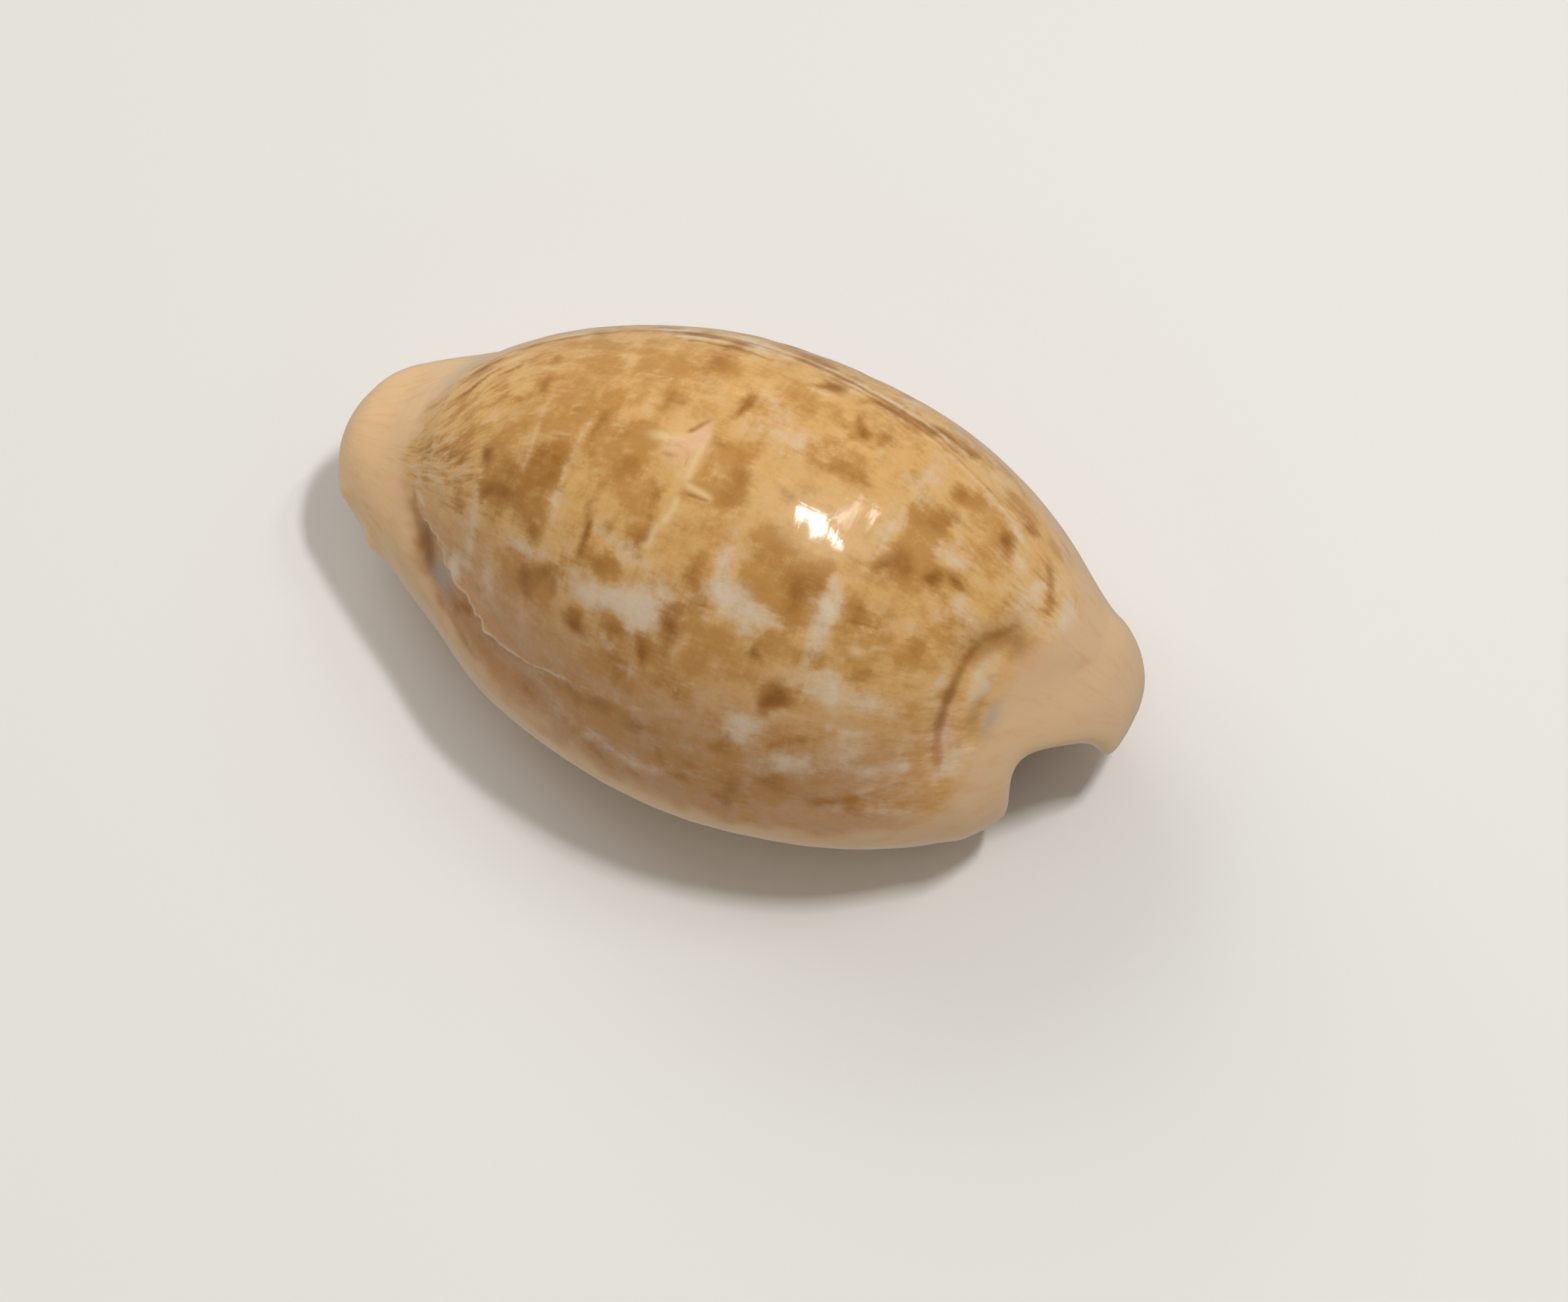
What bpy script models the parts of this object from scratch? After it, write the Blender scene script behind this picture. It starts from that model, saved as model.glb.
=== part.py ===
"""A cowrie shell in one piece, resting on its base.

The shell lies along X: its siphonal (front) end is at -X and its spire (rear) end at +X.
The outer lip is on the +Y side, the columella on the -Y side, and the back faces +Z.
The origin is under the middle of the shell, on the surface that it rests on.
A place on the outside is given by x and by roll, the angle about the shell's long axis:
0 degrees is the outer lip, 90 the top of the back, 180 the columella side and 270 the base.
"""
import math

import bmesh
import bpy
import numpy as np
from mathutils import Matrix, Vector

MM = 0.001

# Driving dimensions
LENGTH = 33.5 * MM
WIDTH = 18.9 * MM
HEIGHT = 15.7 * MM
WALL = 1.8 * MM

# Callus rim, as (share of half the length, share of half the width or of the height)
RIM_LIP = [(-1.0, 0.13), (-0.97, 0.32), (-0.90, 0.475), (-0.75, 0.60), (-0.54, 0.76), (-0.24, 0.95),
           (0.06, 1.0), (0.36, 0.95), (0.60, 0.76), (0.78, 0.55), (0.91, 0.49), (0.985, 0.36), (1.0, 0.17)]
RIM_COLUMELLA = [(-1.0, 0.13), (-0.975, -0.06), (-0.91, -0.21), (-0.77, -0.375), (-0.60, -0.575),
                 (-0.39, -0.82), (-0.12, -0.96), (0.16, -0.99), (0.42, -0.905), (0.64, -0.735),
                 (0.76, -0.615), (0.83, -0.44), (0.92, -0.25), (0.985, -0.02), (1.0, 0.17)]
RIM_TOP = [(-1.0, 0.22), (-0.98, 0.32), (-0.92, 0.40), (-0.78, 0.455), (-0.60, 0.45), (0.0, 0.45),
           (0.50, 0.50), (0.70, 0.53), (0.83, 0.50), (0.93, 0.43), (0.985, 0.33), (1.0, 0.23)]
RIM_BASE = [(-1.0, 0.22), (-0.975, 0.13), (-0.90, 0.06), (-0.72, 0.0), (-0.50, -0.035),
            (0.50, -0.035), (0.74, 0.0), (0.90, 0.06), (0.975, 0.13), (1.0, 0.23)]
RIM_SQUARENESS_LIP = 2.6
RIM_SQUARENESS_COLUMELLA = 2.1

# Body whorl, in the same shares
WHORL_LIP = [(-0.81, 0.10), (-0.79, 0.32), (-0.70, 0.53), (-0.48, 0.76), (-0.18, 0.92),
             (0.12, 0.96), (0.42, 0.915), (0.68, 0.745), (0.84, 0.51), (0.90, 0.24)]
WHORL_COLUMELLA = [(-0.81, 0.10), (-0.79, -0.10), (-0.70, -0.31), (-0.48, -0.59), (-0.21, -0.87),
                   (0.06, -1.0), (0.30, -0.975), (0.52, -0.83), (0.66, -0.60), (0.76, -0.22), (0.90, 0.24)]
WHORL_TOP = [(-0.81, 0.33), (-0.79, 0.46), (-0.70, 0.64), (-0.48, 0.835), (-0.18, 0.975),
             (0.09, 1.0), (0.36, 0.94), (0.58, 0.82), (0.76, 0.64), (0.86, 0.48), (0.90, 0.33)]
WHORL_FLOOR = 0.10
WHORL_SQUARENESS = 2.1

# Long axis, as (share of half the length, share of half the width) and of the height
SPINE = [(-1.0, 0.13), (-0.72, 0.06), (-0.30, 0.01), (0.30, 0.0), (0.66, 0.04), (0.84, 0.12), (1.0, 0.17)]
LEVEL = [(-1.0, 0.22), (-0.78, 0.27), (-0.36, 0.31), (0.36, 0.31), (0.78, 0.28), (1.0, 0.23)]

# How far the whorl and the rim run into each other on either side, along the shell
BLEND_LIP = [(-1.0, 2.4 * MM), (0.3, 2.2 * MM), (0.7, 1.2 * MM), (1.0, 1.6 * MM)]
BLEND_COLUMELLA = [(-1.0, 2.0 * MM), (-0.3, 1.6 * MM), (0.3, 1.4 * MM), (0.7, 2.8 * MM), (1.0, 3.0 * MM)]

# Grooves and swellings of the back, as a path of (share of half the length, roll in degrees)
SPIRE_GROOVE = [(0.74, 92), (0.70, 102), (0.675, 115), (0.665, 135), (0.69, 155)]
SPIRE_GROOVE_WIDTH = 0.75 * MM
SPIRE_GROOVE_DEPTH = 0.85 * MM
SPIRE_DOME = [(0.72, 113), (0.74, 122)]
SPIRE_DOME_WIDTH = 0.7 * MM
SPIRE_DOME_HEIGHT = 0.35 * MM
OVERLAP_GROOVE = [(-0.72, 165), (-0.60, 168), (-0.46, 169), (-0.30, 168), (-0.10, 165)]
OVERLAP_GROOVE_WIDTH = 0.6 * MM
OVERLAP_GROOVE_DEPTH = 0.35 * MM
PATH_FADE = 0.25

# Aperture, as (share of half the length, share of half the width) along its middle
APERTURE = [(-1.03, 0.13), (-0.80, 0.11), (-0.50, 0.14), (-0.12, 0.19), (0.24, 0.18),
            (0.50, 0.11), (0.70, -0.01), (0.84, -0.14), (1.03, -0.40)]
APERTURE_HALF_WIDTH = [(-1.03, 1.2 * MM), (-0.60, 1.5 * MM), (0.0, 1.15 * MM), (0.55, 0.95 * MM),
                       (0.80, 1.1 * MM), (1.03, 1.4 * MM)]
APERTURE_ROOF = [(-1.03, 2.9 * MM), (-0.90, 3.2 * MM), (-0.75, 4.8 * MM), (-0.60, 6.4 * MM),
                 (0.60, 6.0 * MM), (0.80, 4.6 * MM), (1.03, 4.0 * MM)]
APERTURE_STATIONS = 40
APERTURE_ARCH_POINTS = 9
APERTURE_BELOW = -1.0 * MM
LIP_ROLL_HEIGHT = 1.4 * MM
LIP_ROLL_WIDTH = 2.4 * MM
COLUMELLA_LIFT = 0.65 * MM

# Rear canal, a round notch between the two rear lobes
CANAL_RADIUS = 1.9 * MM
CANAL_MIDDLE = Vector((15.4 * MM, -2.5 * MM, 4.5 * MM))
CANAL_AXIS = Vector((-0.30, 0.52, -0.80))
CANAL_WAY_OUT = Vector((0.82, -0.57, 0.0))
CANAL_LENGTH = 16.0 * MM
CANAL_REACH = 4.0 * MM
CANAL_FLARE = 1.35

# Teeth along both sides of the aperture
TOOTH_RADIUS = 0.42 * MM
LIP_TEETH = 18
LIP_TEETH_SPAN = (-0.80, 0.72)
LIP_TOOTH_SHARE = 0.36
COLUMELLA_TEETH = 16
COLUMELLA_TEETH_SPAN = (-0.78, 0.62)
COLUMELLA_TOOTH_SHARE = 0.42
TOOTH_DEPTH = 1.2 * MM
TOOTH_FAN = 0.35

# Fineness of the finished mesh
ROUND_SEGMENTS = 128
LENGTH_RINGS = 160
VOXEL = 0.22 * MM
EDGE_PASSES = 14
TOOTH_PASSES = 3
TRIANGLES = 9400

SHELL_COLOUR = (0.66, 0.43, 0.22, 1.0)
SHELL_ROUGHNESS = 0.25


def curve_through(points, upright_ends):
    """Dense points of a smooth curve through a few, upright at both ends where an outline closes."""
    p = np.array(points, float)
    if upright_ends:
        before = (p[1, 0], 2 * p[0, 1] - p[1, 1])
        after = (p[-2, 0], 2 * p[-1, 1] - p[-2, 1])
    else:
        before = 2 * p[0] - p[1]
        after = 2 * p[-1] - p[-2]
    p = np.vstack([before, p, after])
    t = np.linspace(0.0, 1.0, 40, endpoint=False)[:, None]
    spans = []
    for a, b, c, d in zip(p, p[1:], p[2:], p[3:]):
        spans.append(b + 0.5 * ((c - a) * t + (2 * a - 5 * b + 4 * c - d) * t ** 2
                                + (3 * b - a - 3 * c + d) * t ** 3))
    return np.vstack(spans + [p[-2:-1]])


def reader(points, unit, upright_ends=True):
    """A function that gives the curve's second value, times unit, at any x in metres."""
    dense = curve_through(points, upright_ends)
    x = np.maximum.accumulate(dense[:, 0]) * LENGTH / 2
    return lambda at: np.interp(at, x, dense[:, 1] * unit)


rim_lip = reader(RIM_LIP, WIDTH / 2)
rim_columella = reader(RIM_COLUMELLA, WIDTH / 2)
rim_top = reader(RIM_TOP, HEIGHT)
rim_base = reader(RIM_BASE, HEIGHT)
whorl_lip = reader(WHORL_LIP, WIDTH / 2)
whorl_columella = reader(WHORL_COLUMELLA, WIDTH / 2)
whorl_top = reader(WHORL_TOP, HEIGHT)
spine = reader(SPINE, WIDTH / 2, upright_ends=False)
level = reader(LEVEL, HEIGHT, upright_ends=False)
blend_lip = reader(BLEND_LIP, 1.0, upright_ends=False)
blend_columella = reader(BLEND_COLUMELLA, 1.0, upright_ends=False)
aperture_middle = reader(APERTURE, WIDTH / 2, upright_ends=False)
aperture_half_width = reader(APERTURE_HALF_WIDTH, 1.0, upright_ends=False)
aperture_roof = reader(APERTURE_ROOF, 1.0, upright_ends=False)


def rounded_reach(roll, across, up, squareness):
    """Distance from the long axis to a rounded section, at an angle."""
    across = np.maximum(across, 1e-6)
    up = np.maximum(up, 1e-6)
    flat = (np.abs(np.cos(roll)) / across) ** squareness
    tall = (np.abs(np.sin(roll)) / up) ** squareness
    return (flat + tall) ** (-1.0 / squareness)


def rim_reach(x, roll):
    on_lip_side = np.cos(roll) >= 0
    above = np.sin(roll) >= 0
    across = np.where(on_lip_side, rim_lip(x) - spine(x), spine(x) - rim_columella(x))
    up = np.where(above, rim_top(x) - level(x), level(x) - rim_base(x))
    squareness = np.where(on_lip_side, RIM_SQUARENESS_LIP, RIM_SQUARENESS_COLUMELLA)
    return rounded_reach(roll, across, up, squareness)


def whorl_reach(x, roll, inset=0.0):
    """The body whorl, or the hollow inside it where there is an inset; nought beyond its ends."""
    low, high = WHORL_TOP[0][0] * LENGTH / 2, WHORL_TOP[-1][0] * LENGTH / 2
    squeezed = low + (x - low - inset) * (high - low) / (high - low - 2 * inset)
    on_lip_side = np.cos(roll) >= 0
    above = np.sin(roll) >= 0
    across = np.where(on_lip_side, whorl_lip(squeezed) - spine(x), spine(x) - whorl_columella(squeezed))
    up = np.where(above, whorl_top(squeezed) - level(x), level(x) - WHORL_FLOOR * HEIGHT)
    reach = rounded_reach(roll, across - inset, up - inset, WHORL_SQUARENESS)
    return np.where((squeezed > low) & (squeezed < high), reach, 0.0)


def smooth_larger(a, b, blend):
    overlap = np.maximum(blend - np.abs(a - b), 0.0)
    return np.maximum(a, b) + overlap ** 2 / (4 * blend)


def section_points(x, roll, reach):
    """Places in space, from x, roll and the distance from the long axis."""
    return np.stack([x, spine(x) + reach * np.cos(roll), level(x) + reach * np.sin(roll)], axis=-1)


def plain_outside(x, roll):
    """The outside before its grooves: the whorl run into its rim, and the base rolled in at the aperture."""
    toward_lip = 0.5 + 0.5 * np.cos(roll)
    blend = blend_lip(x) * toward_lip + blend_columella(x) * (1.0 - toward_lip)
    reach = smooth_larger(rim_reach(x, roll), whorl_reach(x, roll), blend)
    points = section_points(x, roll, reach)
    from_aperture = points[..., 1] - aperture_middle(x)
    downward = np.clip(-np.sin(roll), 0.0, 1.0) ** 2
    points[..., 2] += LIP_ROLL_HEIGHT * downward * np.exp(-(from_aperture / LIP_ROLL_WIDTH) ** 2)
    points[..., 2] += COLUMELLA_LIFT * downward * np.clip(-np.cos(roll), 0.0, 1.0)
    return points


def nearness(points, path, width):
    """How near each point is to a path on the outside: 1 on it, fading across its width and to its ends."""
    dense = curve_through(path, upright_ends=False)[::4]
    route = plain_outside(dense[:, 0] * LENGTH / 2, np.radians(dense[:, 1]))
    nearest = np.full(points.shape[:-1], np.inf)
    progress = np.zeros(points.shape[:-1])
    for i, (a, b) in enumerate(zip(route, route[1:])):
        along = np.clip(((points - a) @ (b - a)) / ((b - a) @ (b - a)), 0.0, 1.0)
        gap = np.linalg.norm(points - a - along[..., None] * (b - a), axis=-1)
        closer = gap < nearest
        nearest = np.where(closer, gap, nearest)
        progress = np.where(closer, (i + along) / (len(route) - 1), progress)
    to_end = np.clip(np.minimum(progress, 1.0 - progress) / PATH_FADE, 0.0, 1.0)
    return np.exp(-(nearest / width) ** 2) * np.sin(to_end * math.pi / 2)


def outside(x, roll):
    """The finished outside, with the spire's groove and dome and the edge of the last shell layer."""
    points = plain_outside(x, roll)
    axis = section_points(x, roll, np.zeros_like(x))
    outward = points - axis
    outward /= np.maximum(np.linalg.norm(outward, axis=-1, keepdims=True), 1e-9)
    rise = SPIRE_DOME_HEIGHT * nearness(points, SPIRE_DOME, SPIRE_DOME_WIDTH)
    rise -= SPIRE_GROOVE_DEPTH * nearness(points, SPIRE_GROOVE, SPIRE_GROOVE_WIDTH)
    rise -= OVERLAP_GROOVE_DEPTH * nearness(points, OVERLAP_GROOVE, OVERLAP_GROOVE_WIDTH)
    return points + rise[..., None] * outward


def clear_scene():
    for obj in list(bpy.data.objects):
        bpy.data.objects.remove(obj, do_unlink=True)


def new_collection(name):
    collection = bpy.data.collections.new(name)
    bpy.context.scene.collection.children.link(collection)
    return collection


def new_object(name, bm, collection):
    """An object made from a bmesh, which is freed."""
    bmesh.ops.recalc_face_normals(bm, faces=bm.faces)
    mesh = bpy.data.meshes.new(name)
    bm.to_mesh(mesh)
    bm.free()
    obj = bpy.data.objects.new(name, mesh)
    collection.objects.link(obj)
    return obj


def mark_as_cutter(obj):
    obj.hide_render = True
    obj.display_type = 'WIRE'
    return obj


def shaped_sphere(name, collection, segments, rings, place):
    """A sphere with its poles on X, each point moved by place(share of half the length, roll)."""
    bm = bmesh.new()
    bmesh.ops.create_uvsphere(bm, u_segments=segments, v_segments=rings, radius=1.0,
                              matrix=Matrix.Rotation(math.radians(90), 4, 'Y'))
    start = np.array([v.co[:] for v in bm.verts])
    moved = place(np.clip(start[:, 0], -0.9999, 0.9999), np.arctan2(start[:, 2], start[:, 1]))
    for vert, point in zip(bm.verts, moved):
        vert.co = point
    return new_object(name, bm, collection)


def make_outside(collection):
    return shaped_sphere("shell", collection, ROUND_SEGMENTS, LENGTH_RINGS,
                         lambda share, roll: outside(share * LENGTH / 2, roll))


def make_hollow(collection):
    """The room inside the body whorl, one wall's thickness in from the outside."""
    low, high = WHORL_TOP[0][0] * LENGTH / 2 + WALL, WHORL_TOP[-1][0] * LENGTH / 2 - WALL

    def place(share, roll):
        x = (low + high) / 2 + share * (high - low) / 2
        return section_points(x, roll, whorl_reach(x, roll, WALL))
    return mark_as_cutter(shaped_sphere("whorl_hollow", collection, 48, 40, place))


def make_aperture(collection):
    """The long curved slot through the base, lofted along its middle line."""
    bm = bmesh.new()
    rings = []
    ends = APERTURE[0][0] * LENGTH / 2, APERTURE[-1][0] * LENGTH / 2
    for x in np.linspace(*ends, APERTURE_STATIONS):
        slope = (aperture_middle(x + 0.1 * MM) - aperture_middle(x - 0.1 * MM)) / (0.2 * MM)
        across = Vector((-slope, 1.0, 0.0)).normalized()
        middle = Vector((x, aperture_middle(x), 0.0))
        half, roof = aperture_half_width(x), aperture_roof(x)
        arch = [(half * math.cos(turn), roof - half + half * math.sin(turn))
                for turn in np.linspace(0.0, math.pi, APERTURE_ARCH_POINTS)]
        outline = [(half, APERTURE_BELOW)] + arch + [(-half, APERTURE_BELOW)]
        rings.append([bm.verts.new(middle + across * side + Vector((0.0, 0.0, z))) for side, z in outline])
    for ring, following in zip(rings, rings[1:]):
        for i in range(len(ring)):
            j = (i + 1) % len(ring)
            bm.faces.new((ring[i], ring[j], following[j], following[i]))
    bm.faces.new(rings[0])
    bm.faces.new(rings[-1])
    return mark_as_cutter(new_object("aperture_slot", bm, collection))


def make_canal(collection):
    """The rear canal: a round bore that leans in under the shell, drawn out to the rear."""
    inward = CANAL_AXIS.normalized()
    way_out = (CANAL_WAY_OUT - CANAL_WAY_OUT.dot(inward) * inward).normalized()
    turn = Matrix((inward.cross(way_out), way_out, inward)).transposed().to_4x4()
    bm = bmesh.new()
    bmesh.ops.create_cone(bm, cap_ends=True, segments=40, radius1=CANAL_RADIUS, radius2=CANAL_RADIUS,
                          depth=CANAL_LENGTH)
    for vert in bm.verts:
        if vert.co.y > 0:
            vert.co.y += CANAL_REACH
            vert.co.x *= CANAL_FLARE
    bmesh.ops.transform(bm, matrix=Matrix.Translation(CANAL_MIDDLE) @ turn, verts=bm.verts)
    return mark_as_cutter(new_object("rear_canal", bm, collection))


def base_height(x, y):
    """Height of the plain base above a place in the plan."""
    roll = np.linspace(math.pi, 2 * math.pi, 240)
    section = plain_outside(np.full_like(roll, x), roll)
    return float(np.interp(y, section[:, 1], section[:, 2]))


def tooth_path(share, side, reach):
    """A tooth's middle line: up inside the aperture, over its edge and a share of the way to the rim."""
    x = share * LENGTH / 2
    edge = float(aperture_middle(x) + side * aperture_half_width(x))
    rim = float(rim_lip(x) if side > 0 else rim_columella(x))
    length = reach * abs(rim - edge)
    inside = (x, edge + side * 0.1 * MM, base_height(x, edge) + TOOTH_DEPTH)
    path = [inside]
    for step in np.linspace(0.0, 1.0, 5):
        out = step * length + 0.15 * MM
        at_x = x + TOOTH_FAN * share * out
        at_y = edge + side * out
        path.append((at_x, at_y, base_height(at_x, at_y) + 0.02 * MM))
    return path


def tooth(name, path, collection):
    """A ridge that is full at the aperture and runs out at its far end."""
    curve = bpy.data.curves.new(name, 'CURVE')
    curve.dimensions = '3D'
    curve.bevel_depth = TOOTH_RADIUS
    curve.bevel_resolution = 2
    curve.use_fill_caps = True
    spline = curve.splines.new('POLY')
    spline.points.add(len(path) - 1)
    for i, (point, place) in enumerate(zip(spline.points, path)):
        point.co = (*place, 1.0)
        point.radius = 1.0 - 0.6 * max(0, i - 1) / (len(path) - 2)
    obj = bpy.data.objects.new(name, curve)
    collection.objects.link(obj)
    return obj


def make_teeth(collection):
    """Both rows of teeth as one mesh of closed ridges."""
    paths = []
    for share in np.linspace(*LIP_TEETH_SPAN, LIP_TEETH):
        paths.append(tooth_path(share, 1, LIP_TOOTH_SHARE))
    for share in np.linspace(*COLUMELLA_TEETH_SPAN, COLUMELLA_TEETH):
        paths.append(tooth_path(share, -1, COLUMELLA_TOOTH_SHARE))
    bm = bmesh.new()
    for i, path in enumerate(paths):
        ridge = tooth(f"tooth_{i}", path, collection)
        bpy.context.view_layer.update()
        evaluated = ridge.evaluated_get(bpy.context.evaluated_depsgraph_get())
        mesh = bpy.data.meshes.new_from_object(evaluated)
        bm.from_mesh(mesh)
        bpy.data.objects.remove(ridge, do_unlink=True)
        bpy.data.meshes.remove(mesh)
    bmesh.ops.remove_doubles(bm, verts=bm.verts, dist=0.00001)
    return mark_as_cutter(new_object("teeth", bm, collection))


def make_ground(collection):
    """A block whose top is the surface that the shell rests on."""
    depth = 5 * MM
    bm = bmesh.new()
    bmesh.ops.create_cube(bm, size=1.0)
    for vert in bm.verts:
        vert.co = (vert.co.x * 2 * LENGTH, vert.co.y * 2 * WIDTH, (vert.co.z - 0.5) * depth)
    return mark_as_cutter(new_object("ground", bm, collection))


def boolean(obj, operand, operation):
    modifier = obj.modifiers.new(operand.name, 'BOOLEAN')
    modifier.operation = operation
    modifier.object = operand
    modifier.solver = 'EXACT'


def soften(obj, name, passes):
    """Runs what was cut or joined into one even skin, and rounds its edges."""
    remesh = obj.modifiers.new(name, 'REMESH')
    remesh.mode = 'VOXEL'
    remesh.voxel_size = VOXEL
    smooth = obj.modifiers.new(name, 'SMOOTH')
    smooth.factor = 0.5
    smooth.iterations = passes


def thin(obj):
    """Takes the skin down to the triangles that its form needs."""
    bpy.context.view_layer.update()
    dense = obj.evaluated_get(bpy.context.evaluated_depsgraph_get()).to_mesh()
    triangles = sum(len(p.vertices) - 2 for p in dense.polygons)
    decimate = obj.modifiers.new("thinned", 'DECIMATE')
    decimate.ratio = TRIANGLES / triangles


def shell_material():
    material = bpy.data.materials.new("shell")
    material.use_nodes = True
    shader = material.node_tree.nodes["Principled BSDF"]
    shader.inputs["Base Color"].default_value = SHELL_COLOUR
    shader.inputs["Roughness"].default_value = SHELL_ROUGHNESS
    shader.inputs["Metallic"].default_value = 0.0
    return material


def main():
    clear_scene()
    parts = new_collection("cowrie")
    cutters = new_collection("cutters")
    shell = make_outside(parts)
    boolean(shell, make_hollow(cutters), 'DIFFERENCE')
    boolean(shell, make_aperture(cutters), 'DIFFERENCE')
    boolean(shell, make_canal(cutters), 'DIFFERENCE')
    soften(shell, "rolled edges", EDGE_PASSES)
    boolean(shell, make_teeth(cutters), 'UNION')
    soften(shell, "worn teeth", TOOTH_PASSES)
    thin(shell)
    boolean(shell, make_ground(cutters), 'DIFFERENCE')
    shell.data.materials.append(shell_material())
    shell.data.shade_smooth()


main()
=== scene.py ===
"""A polished, blotched cowrie shell that lies on its base, laid out as a Blender add-on.

The shell lies along X: its front (canal) end is at -X and its rear (spire) end at +X. The outer lip
is on the +Y side, the columella on the -Y side, and the back faces +Z.
A place on the shell is given by x and by roll, the angle about the long axis: 0 degrees is the outer
lip, 90 the top of the back, 180 the columella side and 270 the base.
"""
import math

import bpy
import numpy as np
from mathutils import Matrix, Vector


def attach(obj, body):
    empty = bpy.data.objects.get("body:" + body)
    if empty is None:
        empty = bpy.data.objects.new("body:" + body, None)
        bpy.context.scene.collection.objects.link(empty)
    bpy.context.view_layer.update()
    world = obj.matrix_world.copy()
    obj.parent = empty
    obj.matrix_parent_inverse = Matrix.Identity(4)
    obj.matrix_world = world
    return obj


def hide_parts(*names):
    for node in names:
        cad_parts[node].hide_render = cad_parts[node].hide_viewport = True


bl_info = {
    "name": "Cowrie Shell",
    "version": (1, 0, 0),
    "blender": (4, 5, 0),
    "location": "3D View > Sidebar > Cowrie",
    "description": "Grows a polished, blotched cowrie shell and sets it on a pale stage",
    "category": "Add Mesh",
}

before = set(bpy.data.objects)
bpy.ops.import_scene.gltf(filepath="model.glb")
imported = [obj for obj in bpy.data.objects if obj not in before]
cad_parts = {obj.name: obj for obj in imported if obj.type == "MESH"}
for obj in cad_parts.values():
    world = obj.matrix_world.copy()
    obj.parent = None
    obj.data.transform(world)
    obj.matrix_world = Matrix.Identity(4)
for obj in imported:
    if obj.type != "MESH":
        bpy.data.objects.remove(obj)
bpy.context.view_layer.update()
MM = 0.001

# Callus rim, as (share of half the length, share of half the width or of the height)
RIM_LIP = [(-1.0, 0.13), (-0.97, 0.32), (-0.90, 0.475), (-0.75, 0.60), (-0.54, 0.76), (-0.24, 0.95),
           (0.06, 1.0), (0.36, 0.95), (0.60, 0.76), (0.78, 0.55), (0.91, 0.49), (0.985, 0.36), (1.0, 0.17)]
RIM_COLUMELLA = [(-1.0, 0.13), (-0.975, -0.06), (-0.91, -0.21), (-0.77, -0.375), (-0.60, -0.575),
                 (-0.39, -0.82), (-0.12, -0.96), (0.16, -0.99), (0.42, -0.905), (0.64, -0.735),
                 (0.76, -0.615), (0.83, -0.44), (0.92, -0.25), (0.985, -0.02), (1.0, 0.17)]
RIM_TOP = [(-1.0, 0.22), (-0.98, 0.32), (-0.92, 0.40), (-0.78, 0.455), (-0.60, 0.45), (0.0, 0.45),
           (0.50, 0.50), (0.70, 0.53), (0.83, 0.50), (0.93, 0.43), (0.985, 0.33), (1.0, 0.23)]
RIM_BASE = [(-1.0, 0.22), (-0.975, 0.13), (-0.90, 0.06), (-0.72, 0.0), (-0.50, -0.035),
            (0.50, -0.035), (0.74, 0.0), (0.90, 0.06), (0.975, 0.13), (1.0, 0.23)]
RIM_SQUARENESS_LIP = 2.6
RIM_SQUARENESS_COLUMELLA = 2.1

# Body whorl, in the same shares
WHORL_LIP = [(-0.81, 0.10), (-0.79, 0.32), (-0.70, 0.53), (-0.48, 0.76), (-0.18, 0.92),
             (0.12, 0.96), (0.42, 0.915), (0.68, 0.745), (0.84, 0.51), (0.90, 0.24)]
WHORL_COLUMELLA = [(-0.81, 0.10), (-0.79, -0.10), (-0.70, -0.31), (-0.48, -0.59), (-0.21, -0.87),
                   (0.06, -1.0), (0.30, -0.975), (0.52, -0.83), (0.66, -0.60), (0.76, -0.22), (0.90, 0.24)]
WHORL_TOP = [(-0.81, 0.33), (-0.79, 0.46), (-0.70, 0.64), (-0.48, 0.835), (-0.18, 0.975),
             (0.09, 1.0), (0.36, 0.94), (0.58, 0.82), (0.76, 0.64), (0.86, 0.48), (0.90, 0.33)]
WHORL_FLOOR = 0.10
WHORL_SQUARENESS = 2.1

# Long axis, as (share of half the length, share of half the width) and of the height
SPINE = [(-1.0, 0.13), (-0.72, 0.06), (-0.30, 0.01), (0.30, 0.0), (0.66, 0.04), (0.84, 0.12), (1.0, 0.17)]
LEVEL = [(-1.0, 0.22), (-0.78, 0.27), (-0.36, 0.31), (0.36, 0.31), (0.78, 0.28), (1.0, 0.23)]

# How far the whorl and the rim run into each other on either side, along the shell
BLEND_LIP = [(-1.0, 2.4 * MM), (0.3, 2.2 * MM), (0.7, 1.2 * MM), (1.0, 1.6 * MM)]
BLEND_COLUMELLA = [(-1.0, 2.0 * MM), (-0.3, 1.6 * MM), (0.3, 1.4 * MM), (0.7, 2.8 * MM), (1.0, 3.0 * MM)]

# Extra run of whorl into rim low on the columella side, as a share of half the length and a roll in degrees
CREASE_FILL = 1.8 * MM
FILLED_AT = (-0.36, 163.0)
FILLED_OVER = (0.27, 13.0)

# Stretch, as a share of half the length, over which the front of the whorl rises out of the callus
FRONT_EVENING = 0.085

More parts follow.
